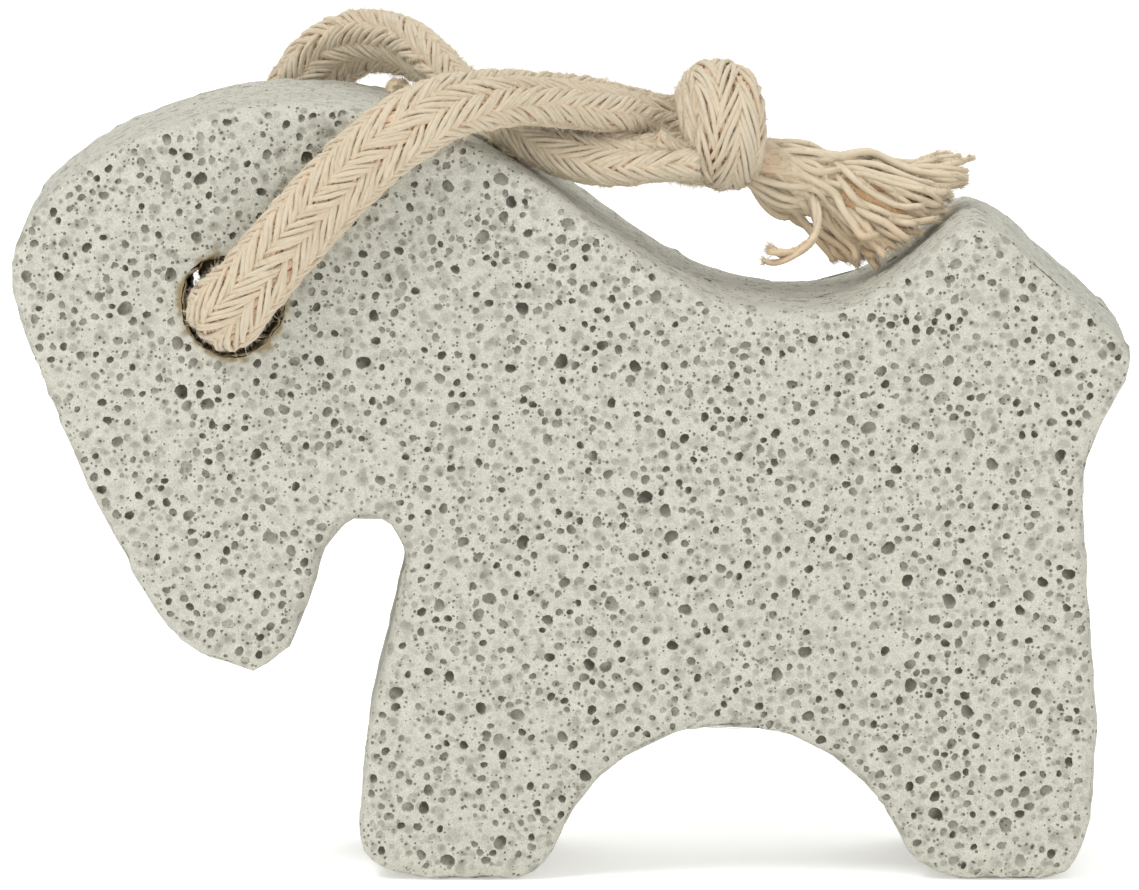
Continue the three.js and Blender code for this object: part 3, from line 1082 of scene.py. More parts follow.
@dataclass
class CordLoop:
    """The plain braid: from the knot over the neck, through the hole in the head and back to the knot."""

    width: float = 6.6 * MM
    thickness: float = 4.0 * MM
    lay_length: float = 25.0 * MM
    step: float = 0.7 * MM
    tuck: float = 3.0 * MM
    neck_length: float = 9.0 * MM
    neck_squeeze: float = 0.8
    bend_place: Triple = (-0.0312, -0.0128, 0.0513)
    bend_spread: Pair = (0.66, 0.12)
    bend_reach: float = 3.5 * MM
    hole_squeeze: float = 0.30
    hole_middle_y: float = 2.0 * MM
    hole_fade_y: Pair = (6.0 * MM, 11.0 * MM)
    hole_fade_z: Pair = (53.0 * MM, 55.0 * MM)
    lint_place: Triple = (-0.0156, 0.0070, 0.0697)
    lint_way: Triple = (0.95, -0.2, 0.2)
    lint_facing: Triple = (0.0, -1.0, 0.3)
    lint_half_length: float = 1.1 * MM
    lint_radius: float = 0.8 * MM
    lint_wave: float = 0.28
    lint_steps: int = 11
    lint_sides: int = 12
    lint_depth: float = 0.35
    lint_hair: float = 0.5 * MM
    lint_scatter: float = 0.6
    lint_seed: int = 71
    stations: tuple = (
        ((0.0084, 0.0002, 0.0676), (0.0, -0.5, 0.85)),
        ((0.0062, -0.0006, 0.0681), (0.0, -0.5, 0.85)),
        ((0.0027, -0.0035, 0.0691), (0.0, -0.5, 0.85)),
        ((-0.0009, -0.0060, 0.0698), (0.0, -0.5, 0.85)),
        ((-0.0044, -0.0086, 0.0703), (0.0, -0.55, 0.85)),
        ((-0.0080, -0.0114, 0.0704), (0.1, -0.65, 0.75)),
        ((-0.0116, -0.0139, 0.0697), (0.1, -0.8, 0.6)),
        ((-0.0151, -0.0150, 0.0678), (0.1, -0.95, 0.3)),
        ((-0.0191, -0.0151, 0.0645), (0.0, -1.0, 0.05)),
        ((-0.0226, -0.0151, 0.0609), (0.0, -1.0, 0.0)),
        ((-0.0259, -0.0152, 0.0571), (0.0, -1.0, 0.0)),
        ((-0.0286, -0.0149, 0.0540), (-0.15, -1.0, -0.15)),
        ((-0.0305, -0.0132, 0.0517), (-0.5, -0.75, -0.55)),
        ((-0.0312, -0.0096, 0.0508), (-0.65, -0.25, -0.75)),
        ((-0.0314, -0.0040, 0.0506), (-0.64, 0.0, -0.77)),
        ((-0.0313, 0.0040, 0.0507), (-0.5, 0.0, -0.87)),
        ((-0.0310, 0.0093, 0.0511), (-0.3, 0.2, -0.93)),
        ((-0.0306, 0.0129, 0.0526), (-0.15, 0.7, -0.7)),
        ((-0.0299, 0.0149, 0.0556), (0.0, 1.0, -0.2)),
        ((-0.0284, 0.0153, 0.0601), (0.0, 1.0, 0.0)),
        ((-0.0264, 0.0152, 0.0648), (0.0, 1.0, 0.0)),
        ((-0.0246, 0.0150, 0.0685), (0.0, 1.0, 0.05)),
        ((-0.0224, 0.0142, 0.0714), (0.0, 1.0, 0.15)),
        ((-0.0198, 0.0125, 0.0731), (0.0, 0.95, 0.3)),
        ((-0.0171, 0.0100, 0.0736), (0.05, 0.9, 0.4)),
        ((-0.0145, 0.0069, 0.0732), (0.15, 0.8, 0.5)),
        ((-0.0122, 0.0038, 0.0720), (0.3, 0.6, 0.65)),
        ((-0.0099, 0.0012, 0.0703), (0.4, 0.3, 0.8)),
        ((-0.0074, -0.0012, 0.0685), (0.4, 0.05, 0.9)),
        ((-0.0044, -0.0034, 0.0667), (0.3, -0.2, 0.9)),
        ((-0.0009, -0.0048, 0.0653), (0.1, -0.35, 0.9)),
        ((0.0027, -0.0051, 0.0645), (0.0, -0.45, 0.9)),
        ((0.0062, -0.0049, 0.0644), (0.0, -0.5, 0.85)),
        ((0.0084, -0.0046, 0.0645), (0.0, -0.5, 0.85)),
    )

    def ribbon(self) -> Ribbon:
        """The route, with both ends run on straight into the knot.

        Returns:
            The ribbon through the stations.
        """
        rows = np.array(self.stations, float).reshape(-1, 6)
        first = rows[0].copy()
        last = rows[-1].copy()
        first[:3] += self.tuck * unit(rows[0, :3] - rows[1, :3])
        last[:3] += self.tuck * unit(rows[-1, :3] - rows[-2, :3])
        return Ribbon.through(np.concatenate([[first], rows, [last]]), self.step)

    def build(self, finish: Material, fuzz_finish: Material) -> list[Piece]:
        """Makes the braided cord and its loose fibres.

        The section narrows towards both ends, where the knot pulls it together, thickens where it bends into
        the hole and is narrower inside it.

        Args:
            finish: Cotton of the braid.
            fuzz_finish: Cotton of the loose fibres.

        Returns:
            The cord and its fuzz.
        """
        ribbon = self.ribbon()
        braid = Braid(self.width / 2.0, self.thickness / 2.0, self.lay_length)
        from_end = np.minimum(ribbon.along, ribbon.length - ribbon.along)
        neck = (1.0 - self.neck_squeeze) * (1.0 - smoothstep(from_end, self.tuck, self.neck_length))
        from_bend = np.linalg.norm(ribbon.points - np.array(self.bend_place), axis=1)
        bend = np.exp(-((from_bend / self.bend_reach) ** 2))
        in_hole = 1.0 - smoothstep(np.abs(ribbon.points[:, 1] - self.hole_middle_y), *self.hole_fade_y)
        in_hole = in_hole * (1.0 - smoothstep(ribbon.points[:, 2], *self.hole_fade_z))
        squeeze = 1.0 - neck[:, None] + bend[:, None] * np.array(self.bend_spread)
        squeeze[:, 1] -= self.hole_squeeze * in_hole
        cord = braid.surface(ribbon, squeeze).to_object("cord_loop_braid", finish, COTTON_VALUES)
        lines, outward, lift = braid.yarn_lines(ribbon, squeeze)
        hairs = Fuzz().over(lines, outward, braid.yarn_radius, lift > 0.0)
        hairs = Surface.joined([hairs, self.lint()])
        fuzz = hairs.to_object("cord_loop_fuzz", fuzz_finish, COTTON_VALUES, smooth=False)
        for piece, slot in ((cord, Slot.BRAID), (fuzz, Slot.YARN)):
            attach(piece, BODY)
        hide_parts("cord_loop")
        return [cord, fuzz]

    def lint(self) -> Surface:
        """The small tuft caught where the strands cross, a short wavy lump with a nap of hairs.

        The radius follows a half ellipse times 1 plus a wave of three lobes that turns along the length.

        Returns:
            The tuft with the values tone, depth and fibre.
        """
        share, swell = lump_shares(self.lint_steps)
        around = TURN * np.arange(self.lint_sides) / self.lint_sides
        centre = np.array(self.lint_place)
        line = centre + self.lint_half_length * share[:, None] * np.array(self.lint_way)
        wavy = 1.0 + self.lint_wave * np.cos(3.0 * around + 4.0 * share[:, None])
        radii = self.lint_radius * swell[:, None] * wavy
        lump = tubes_along(line[None], radii[None], np.array(self.lint_facing), self.lint_sides)
        lump = plain_cotton(lump, tone=0.0, depth=self.lint_depth)
        scatter = np.random.default_rng(self.lint_seed).normal(size=lump.points.shape)
        ways = self.lint_hair * unit(unit(lump.points - centre) + self.lint_scatter * scatter)
        return Surface.joined([lump, Fuzz(seed=self.lint_seed).spikes(lump.points, ways)])

    def declare(self) -> None:
        """Works out the route's ribbon and does nothing more with it.
        """
        ribbon = self.ribbon()


@dataclass(frozen=True)
class KnotBand:
    """One stretch of cord round the knot.

    Its places are degrees round the knot's axis from the top towards the front, and then millimetres along
    the axis and out from it.
    """

    half_width: float
    half_thickness: float
    seed: int
    places: tuple[Triple, ...]


@dataclass
class Knot:
    """The overhand knot that ties both ends of the loop together."""

    centre: Triple = (13.6 * MM, -1.5 * MM, 67.0 * MM)
    axis_drop: float = math.radians(9.0)
    lay_length: float = 32.0 * MM
    step: float = 0.5 * MM
    band_points: int = 49
    core_radius: float = 3.6 * MM
    core_half_length: float = 3.4 * MM
    core_steps: int = 13
    core_sides: int = 16
    long_hairs: int = 350
    short_hairs: int = 5000
    wrap: KnotBand = KnotBand(
        3.5 * MM, 2.5 * MM, 3,
        ((-130.0, -0.2, 2.2), (-95.0, -0.5, 3.0), (-45.0, -0.7, 3.45), (0.0, -0.6, 3.6), (45.0, 0.1, 3.5),
         (90.0, 0.6, 3.4), (135.0, 0.7, 3.4), (180.0, 0.5, 3.35), (225.0, 0.1, 3.3), (270.0, -0.2, 2.9),
         (300.0, -0.3, 2.2)),
    )
    cross_over: KnotBand = KnotBand(
        2.1 * MM, 1.5 * MM, 5,
        ((-100.0, -2.2, 1.8), (-45.0, -2.3, 2.2), (0.0, -2.4, 2.5), (40.0, -2.4, 3.0), (75.0, -1.9, 3.4),
         (105.0, -1.2, 3.3), (135.0, -0.4, 2.8), (165.0, 0.4, 2.2)),
    )
    tuck: KnotBand = KnotBand(
        2.1 * MM, 1.5 * MM, 9,
        ((128.0, -6.0, 4.0), (137.0, -4.6, 4.2), (147.0, -3.2, 4.3), (158.0, -1.8, 4.2), (172.0, -0.4, 3.7),
         (190.0, 1.0, 3.0)),
    )

    def axes(self) -> tuple[Array, Array, Array]:
        """The knot's own directions: along its axis, towards the front, and up."""
        c, s = math.cos(self.axis_drop), math.sin(self.axis_drop)
        return np.array([c, 0.0, -s]), np.array([0.0, -1.0, 0.0]), np.array([s, 0.0, c])

    def band_ribbon(self, band: KnotBand) -> Ribbon:
        """The middle line of one band, a spline in the angle of its place along the axis and its radius.

        Args:
            band: The band.

        Returns:
            Its ribbon, facing away from the axis.
        """
        axis, front, up = self.axes()
        places = np.array(band.places)
        turn = np.linspace(places[0, 0], places[-1, 0], self.band_points)
        along, radius = spline(places[:, 1:] * MM, places[:, 0], turn).T
        angle = np.radians(turn)[:, None]
        spoke = np.cos(angle) * up + np.sin(angle) * front
        points = np.array(self.centre) + along[:, None] * axis + radius[:, None] * spoke
        return Ribbon.through(np.concatenate([points, spoke], axis=1), self.step)

    def build(self, finish: Material, fuzz_finish: Material) -> list[Piece]:
        """Makes the bands, the tucked strand under them and the core that they close on.

        Args:
            finish: Cotton of the braid.
            fuzz_finish: Cotton of the loose fibres.

        Returns:
            The knot and its fuzz.
        """
        parts = [self.core()]
        hairs = []
        for band in (self.wrap, self.cross_over, self.tuck):
            ribbon = self.band_ribbon(band)
            sizes = (band.half_width, band.half_thickness, self.lay_length)
            braid = Braid(*sizes, squareness=1.0, seed=band.seed)
            full = np.ones((len(ribbon.along), 2))
            parts.append(braid.surface(ribbon, full))
            lines, outward, lift = braid.yarn_lines(ribbon, full)
            nap = Fuzz(seed=braid.seed, long_hairs=self.long_hairs, short_hairs=self.short_hairs)
            hairs.append(nap.over(lines, outward, braid.yarn_radius, lift > 0.0))
        knot = Surface.joined(parts).to_object("knot_wraps", finish, COTTON_VALUES)
        fuzz = Surface.joined(hairs).to_object("knot_fuzz", fuzz_finish, COTTON_VALUES, smooth=False)
        for piece, slot in ((knot, Slot.BRAID), (fuzz, Slot.YARN)):
            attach(piece, BODY)
        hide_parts("knot")
        return [knot, fuzz]

    def core(self) -> Surface:
        """The inside, out of sight and in painted shade: a tube along the axis whose radius follows a half
        ellipse.

        Returns:
            The core with the values tone, depth and fibre.
        """
        axis, front, _ = self.axes()
        share, swell = lump_shares(self.core_steps)
        line = np.array(self.centre) + self.core_half_length * share[:, None] * axis
        radii = self.core_radius * swell
        core = tubes_along(line[None], radii[None, :, None], front, self.core_sides)
        return plain_cotton(core, tone=0.0, depth=1.0)


@dataclass
class Tassel:
    """The frayed ends past the knot: a bound stub, and loose yarns that fan out to brushed tips."""

    stub_start: Triple = (16.0 * MM, -1.2 * MM, 64.5 * MM)
    stub_end: Triple = (21.6 * MM, 0.0 * MM, 61.6 * MM)
    stub_radius: float = 2.45 * MM
    stub_twist: float = 1.1
    yarns_per_lock: int = 12
    yarn_radius: float = 0.35 * MM
    sides: int = 6
    steps: int = 48
    spread: float = 0.95 * MM
    core_radius: float = 1.0 * MM
    core_sides: int = 10
    brush_fibres: int = 56
    brush_length: float = 0.7 * MM
    seed: int = 23
    locks: tuple = (
        ((25.0, 2.4, 63.2), (30.0, 4.0, 62.3), (34.4, 4.2, 63.8)),
        ((26.0, 2.2, 62.6), (31.0, 3.4, 62.0), (35.4, 3.2, 62.2)),
        ((26.0, 1.4, 62.2), (31.0, 2.2, 61.8), (35.6, 1.8, 61.2)),
        ((25.5, 0.4, 62.2), (30.5, 0.2, 60.6), (34.4, 0.4, 59.9)),
        ((25.0, -0.4, 61.4), (29.0, -1.0, 59.4), (32.6, -1.0, 58.7)),
        ((24.6, -0.8, 60.6), (27.6, -1.6, 58.4), (30.6, -1.8, 57.2)),
        ((24.0, -0.6, 60.2), (26.6, -1.4, 57.6), (28.6, -1.6, 55.9)),
        ((23.4, -0.2, 59.4), (25.2, -0.5, 56.9), (27.0, -0.4, 55.1)),
        ((22.6, 0.2, 58.9), (24.0, 0.6, 56.4), (25.6, 0.8, 54.8)),
        ((25.4, 3.4, 62.6), (30.0, 4.8, 61.2), (33.6, 5.2, 60.4)),
        ((24.4, 2.6, 61.6), (27.4, 4.0, 59.2), (29.6, 4.4, 57.6)),
    )
    stray: tuple = (
        (21.2, -0.8, 61.4), (22.2, -2.8, 59.5), (22.2, -3.6, 57.7), (21.0, -4.0, 56.2), (19.3, -4.1, 55.5),
        (17.7, -4.0, 55.8),
    )
    stray_yarns: int = 3
    stub_section: Triple = (0.7, 0.9, 1.1)
    stub_taper: Pair = (0.6, 1.1)
    opening: Triple = (1.2, 1.1, 1.25)
    scatter: float = 0.35
    tip_change: Pair = (-1.2 * MM, 0.3 * MM)
    knots: tuple[float, ...] = (0.0, 0.3, 0.52, 0.78, 1.0)
    wave: float = 0.14 * MM
    wave_numbers: Pair = (10.0, 26.0)
    facing: Triple = (0.15, -1.0, 0.25)
    thickness_range: Pair = (0.85, 1.15)
    ridges: Pair = (0.09, 0.06)
    # Painted warm shade towards the middle of the tassel and on its low side.
    middle_reach: float = 2.2 * MM
    low_band: Pair = (55.5 * MM, 60.5 * MM)
    depth_shares: Triple = (0.22, 0.75, 0.3)
    most_depth: float = 0.8
    fibre_run: float = 1.6 * MM
    fibre_apart: float = 10.0 * MM
    long_hairs: int = 900
    short_hairs: int = 16000

    def in_section(self, out: Array, turn: Array) -> Array:
        """Place of each yarn in the section of its bundle, from its distance and angle, as shares."""
        x, y, z = self.stub_section
        return out * np.concatenate([x * np.cos(turn), y * np.sin(turn), z * np.cos(turn)], axis=1)

    def yarn_lines(self) -> Array:
        """Centre lines of all loose yarns.

        Each is a spline through two points in the stub, two along the lock and the tip, all moved by the
        yarn's own place in its lock, which opens towards the tip. A slow wave is added on top.

        Returns:
            Points for each yarn and step.
        """
        rng = np.random.default_rng(self.seed)
        locks = np.repeat(np.array(self.locks) * MM, self.yarns_per_lock, axis=0)
        count = len(locks)
        turn = TURN * rng.uniform(size=(count, 1))
        out = np.sqrt(rng.uniform(0.05, 1.0, (count, 1)))
        twist = self.stub_twist * rng.choice([-1.0, 1.0], (count, 1))
        offset = self.in_section(out, turn)
        first = self.in_section(out, turn - twist)
        narrow, wide = self.stub_taper
        stub = np.array([self.stub_start, self.stub_end])
        roots = stub[None] + self.stub_radius * np.stack([narrow * first, wide * offset], axis=1)
        opening = self.spread * np.array(self.opening)[:, None]
        ends = locks + opening * (offset[:, None] + self.scatter * rng.normal(size=(count, 3, 3)))
        ends[:, 2] += rng.uniform(*self.tip_change, (count, 1)) * unit(ends[:, 2] - ends[:, 1])
        lines = self.carried(np.concatenate([roots, ends], axis=1))
        phases = rng.uniform(0.0, TURN, (count, 1, 3))
        numbers = rng.uniform(*self.wave_numbers, (count, 1, 3))
        share = np.linspace(0.0, 1.0, self.steps)[None, :, None]
        return lines + np.sin(numbers * share + phases) * (self.wave * share)

    def cores(self) -> Surface:
        """The inside of each lock, in warm painted shade: a tube along the lock's middle line that thins
        towards the tip.

        Returns:
            The cores with the values tone, depth and fibre.
        """
        locks = np.array(self.locks) * MM
        stub = np.broadcast_to(np.array([self.stub_start, self.stub_end]), (len(locks), 2, 3))
        lines = self.carried(np.concatenate([stub, locks], axis=1))
        share = np.linspace(0.0, 1.0, self.steps)[None, :, None]
        radii = self.core_radius * (1.0 - 0.25 * share - 0.6 * smoothstep(share, 0.6, 1.0))
        cores = tubes_along(lines[:, :-4], radii[:, :-4], np.array(self.facing), self.core_sides)
        return plain_cotton(cores, tone=0.5, depth=1.0)

    def carried(self, rows: Array) -> Array:
        """Splines through the five control points of each row.

        A natural spline is linear in its control points, so one basis, the spline through the rows of the
        unit matrix, carries all rows at once.

        Args:
            rows: Two points in the stub, two along the lock and the tip, for each line.

        Returns:
            Points for each line and step.
        """
        unit_rows = np.eye(len(self.knots))
        basis = spline(unit_rows, np.array(self.knots), np.linspace(0.0, 1.0, self.steps))
        return np.einsum("sk,ykc->ysc", basis, rows)

    def stray_lines(self) -> Array:
        """Centre lines of the few yarns that curl away together, twisted loosely about one spline.

        Returns:
            Points for each stray yarn and step.
        """
        points = np.array(self.stray) * MM
        knots = lengths_along(points)
        share = np.linspace(0.0, 1.0, self.steps)
        line = spline(points, knots, knots[-1] * share)
        turn = TURN * (np.arange(self.stray_yarns)[:, None] / self.stray_yarns + 0.8 * share)
        apart = self.yarn_radius * (0.75 + 1.3 * smoothstep(share, 0.7, 1.0))
        ring = np.stack([0.4 * np.sin(turn), np.cos(turn), np.sin(turn)], axis=-1)
        return line + apart[:, None] * ring

    def build(self, finish: Material) -> list[Piece]:
        """Makes the loose yarns with ridged sides, the brushes at their tips and their fuzz.

        The yarn's radius is 1 plus two small waves round it that turn along the length, and it thins at the
        tip. Its depth, which the finish turns into warm painted shade, grows towards the middle of the
        tassel and its low side.

        Args:
            finish: Cotton of the loose yarn.

        Returns:
            The yarns and the fine fibres.
        """
        lines = np.concatenate([self.yarn_lines(), self.stray_lines()])
        rng = np.random.default_rng(self.seed + 1)
        share = np.linspace(0.0, 1.0, self.steps)[None, :, None]
        around = TURN * np.arange(self.sides)[None, None, :] / self.sides
        phase = rng.uniform(0.0, TURN, (len(lines), 1, 1))
        three = self.ridges[0] * np.cos(3.0 * around + 22.0 * share + phase)
        two = self.ridges[1] * np.cos(2.0 * around - 31.0 * share)
        thick = rng.uniform(*self.thickness_range, (len(lines), 1, 1))
        thick = thick * (1.0 - 0.3 * smoothstep(share, 0.95, 1.0))
        outward = np.array(self.facing)
        yarns = tubes_along(lines, self.yarn_radius * thick * (1.0 + (three + two)), outward, self.sides)
        tube, step, side = (yarns.values[name] for name in ("tube", "step", "side"))
        middle = lines[: -self.stray_yarns].mean(axis=0)
        inside = 1.0 - np.linalg.norm(lines - middle, axis=2) / self.middle_reach
        buried = np.clip(inside, 0.0, 1.0)[tube, step]
        low = 1.0 - smoothstep(yarns.points[:, 2], *self.low_band)
        least, buried_share, low_share = self.depth_shares
        depth = least + buried_share * buried + low_share * low
        turned = TURN * side / self.sides + 9.0 * share[0, step, 0]
        tones = rng.uniform(0.0, 1.0, len(lines))
        run = self.fibre_run * share[0, step, 0] + self.fibre_apart * tones[tube]
        yarns.values = {
            "tone": tones[tube],
            "depth": np.clip(depth, 0.0, self.most_depth),
            "fibre": twisted_fibre(self.yarn_radius, turned, run),
        }
        nap = Fuzz(seed=self.seed, long_hairs=self.long_hairs, short_hairs=self.short_hairs)
        loose = nap.over(lines, outward, self.yarn_radius, np.ones(lines.shape[:2], bool))
        tassel = Surface.joined([yarns, self.cores()]).to_object("tassel_yarns", finish, COTTON_VALUES)
        fine = Surface.joined([loose, self.brushes(lines)])
        fuzz = fine.to_object("tassel_fuzz", finish, COTTON_VALUES, smooth=False)
        for piece in (tassel, fuzz):
            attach(piece, BODY)
        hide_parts("tassel")
        return [tassel, fuzz]

    def brushes(self, lines: Array) -> Surface:
        """Frayed tips: fibres that run on out of each yarn's end and splay.

        Args:
            lines: Centre lines of the yarns.

        Returns:
            The fibres.
        """
        rng = np.random.default_rng(self.seed + 2)
        count = len(lines) * self.brush_fibres
        ways = np.repeat(unit(lines[:, -1] - lines[:, -4]), self.brush_fibres, axis=0)
        scatter = rng.normal(size=(count, 3))
        roots = np.repeat(lines[:, -2], self.brush_fibres, axis=0) + 0.5 * self.yarn_radius * scatter
        size = self.brush_length * rng.uniform(0.5, 1.2, (count, 1))
        return Fuzz(radius=0.03 * MM).spikes(roots, size * unit(ways + 0.28 * scatter))


@dataclass(frozen=True)
class PoreSize:
    """One size of pore: how many to a square millimetre, and the rings of points that shape its bowl."""

    per_square_mm: float
    radius_mm: Pair
    sides: int
    rings: tuple[Pair, ...]
    dark_share: float = 0.3
    mid_share: float = 0.4
    dished: bool = False


@dataclass
class Pores:
    """Pores of one sheet of stone, in millimetres on the flat sheet."""

    sizes: tuple[PoreSize, ...]
    centres: list[Array]
    radii: list[Array]
    rng: np.random.Generator

    @classmethod
    def scattered(
        cls,
        sizes: tuple[PoreSize, ...],
        corner: Array,
        span: Array,
        clearance: Callable[[Array], Array],
        gap: float,
        seed: int,
    ) -> "Pores":
        """Throws pores at random, largest first, and keeps those that touch no edge and no other pore.

        Args:
            sizes: Sizes of pore, largest first.
            corner: Lowest corner of the sheet's box.
            span: Size of the sheet's box.
            clearance: Gives the distance of points from the sheet's edges, negative outside.
            gap: Least distance between two pores.
            seed: Seed of the random numbers.

        Returns:
            The pores.
        """
        rng = np.random.default_rng(seed)
        kept_centres = np.zeros((0, 2))
        kept_radii = np.zeros(0)
        centres = []
        radii = []
        for size in sizes:
            wanted = size.per_square_mm * span[0] * span[1]
            tries = corner + span * rng.uniform(size=(round(3.0 * wanted), 2))
            low, high = size.radius_mm
            spread = low + (high - low) * rng.uniform(size=len(tries)) ** 1.7
            inside = clearance(tries)
            area_share = np.mean(inside > 0.0)
            clear = inside > WIDEST_LOBE * spread + 0.03
            first = len(kept_radii)
            for centre, radius in zip(tries[clear], spread[clear]):
                if len(kept_radii) - first >= wanted * area_share:
                    break
                distances = np.hypot(*(kept_centres - centre).T) - kept_radii
                if len(kept_radii) == 0 or distances.min() > radius + gap:
                    kept_centres = np.concatenate([kept_centres, [centre]])
                    kept_radii = np.append(kept_radii, radius)
            centres.append(kept_centres[first:])
            radii.append(kept_radii[first:])
        return cls(sizes, centres, radii, rng)

    def touches(self, points: Array, margin: float) -> Array:
        """Tells which points lie in a pore or near its rim.

        Args:
            points: Points on the sheet.
            margin: Distance from the rim that still counts.

        Returns:
            True for each such point.
        """
        centres = np.concatenate(self.centres)
        radii = np.concatenate(self.radii)
        parts = [
            (np.linalg.norm(part[:, None] - centres, axis=2) < radii * 1.15 + margin).any(axis=1)
            for part in in_parts(points, 500)
        ]
        return np.concatenate(parts)

    def rings(self) -> tuple[Array, Array, Array, Array, Array]:
        """Points of all bowls and the edges of their rims.

        A rim's radius is the pore's radius times 1 plus small waves of two and three lobes. The inner rings
        repeat it at a share of the radius and depth, and one point closes the floor.

        Returns:
            Points, depths, painted pore shade from 0 to 1, pore numbers on rims with -1 elsewhere, and rim
            edges.
        """
        points, depths, tones, numbers, edges = [], [], [], [], []
        first_point = 0
        first_pore = 0
        for size, centres, radii in zip(self.sizes, self.centres, self.radii):
            count = len(radii)
            # Each pore draws a random strength of painted shade, which also sets how deep it is.
            chances = [size.dark_share, size.mid_share, 1.0 - size.dark_share - size.mid_share]
            tone = self.rng.choice(PORE_SHADE_LEVELS, size=count, p=chances)
            tone = np.clip(tone + self.rng.uniform(-0.14, 0.14, count), 0.05, 1.0)
            depth = radii * (0.4 if size.dished else 0.45 + 0.9 * tone)
            phase = self.rng.uniform(0.0, TURN, (3, count, 1))
            angle = TURN * np.arange(size.sides)[None] / size.sides + phase[0]
            lobes = 1.0 + 0.16 * np.cos(2.0 * angle + phase[1]) + 0.08 * np.cos(3.0 * angle + phase[2])
            lobes = np.minimum(lobes + self.rng.uniform(-0.07, 0.05, lobes.shape), WIDEST_LOBE)
            spokes = np.stack([np.cos(angle), np.sin(angle)], axis=-1) * (lobes * radii[:, None])[..., None]
            # Painted shadow: the shade is strongest on one side of each pore, most often its upper side.
            shade = 1.0 + 0.6 * np.cos(angle - self.rng.normal(0.5 * math.pi, 0.9, (count, 1)))
            for share, drop in ((1.0, 0.0), *size.rings):
                points.append((centres[:, None] + share * spokes).reshape(-1, 2))
                depths.append(np.repeat(drop * depth, size.sides))
                # The painted shade grows from the rim towards the floor of the bowl.
                reached = drop if size.dished else min(1.0, 3.0 * drop)
                tones.append(np.clip(tone[:, None] * reached * shade, 0.0, 1.0).reshape(-1))
                on_rim = drop == 0.0 and not size.dished
                pore = first_pore + np.arange(count)
                numbers.append(np.repeat(pore, size.sides) if on_rim else np.full(count * size.sides, -1))
            rim = first_point + np.arange(count * size.sides).reshape(count, size.sides)
            edges.append(np.stack([rim, np.roll(rim, -1, axis=1)], axis=-1).reshape(-1, 2))
            points.append(centres)
            depths.append(depth)
            tones.append(tone)
            numbers.append(np.full(count, -1))
            first_point += count * (size.sides * (1 + len(size.rings)) + 1)
            first_pore += count
        return tuple(np.concatenate(rows) for rows in (points, depths, tones, numbers, edges))


@dataclass
class PittedSheet:
    """A flat sheet, in millimetres, triangulated round its pores."""

    points: Array
    depths: Array
    # Painted shade of the pores at each point, from 0 to 1.
    tones: Array
    rims: Array
    triangles: Array

    @classmethod
    def cut(
        cls, loops: list[Array], free: Array, pores: Pores, keep: Callable[[Array], Array]
    ) -> "PittedSheet":
        """Triangulates edge loops, free points and pore rings together.

        The triangulation keeps every loop and rim as edges. Triangles whose middle isn't on the sheet are
        dropped.

        Args:
            loops: Closed edge loops, in order.
            free: Points on the sheet that belong to no edge.
            pores: The pores.
            keep: Tells for points whether they are on the sheet.

        Returns:
            The sheet, with the points of the loops first.
        """
        ring_points, depths, tones, rims, rim_edges = pores.rings()
        loop_edges = []
        first = 0
        for loop in loops:
            index = first + np.arange(len(loop))
            loop_edges.append(np.stack([index, np.roll(index, -1)], axis=1))
            first += len(loop)
        flat = np.concatenate([*loops, free, ring_points])
        before = first + len(free)
        edges = np.concatenate([*loop_edges, rim_edges + before])
        found, _, faces, _, _, _ = delaunay_2d_cdt(flat.tolist(), edges.tolist(), [], 0, 1e-6, False)
        points = np.array([tuple(point) for point in found])
        extra = len(points) - len(flat)
        triangles = np.array(faces)
        triangles = triangles[keep(points[triangles].mean(axis=1))]
        return cls(
            points,
            np.concatenate([np.zeros(before), depths, np.zeros(extra)]),
            np.concatenate([np.zeros(before), tones, np.zeros(extra)]),
            np.concatenate([np.full(before, -1), rims, np.full(extra, -1)]),
            triangles,
        )


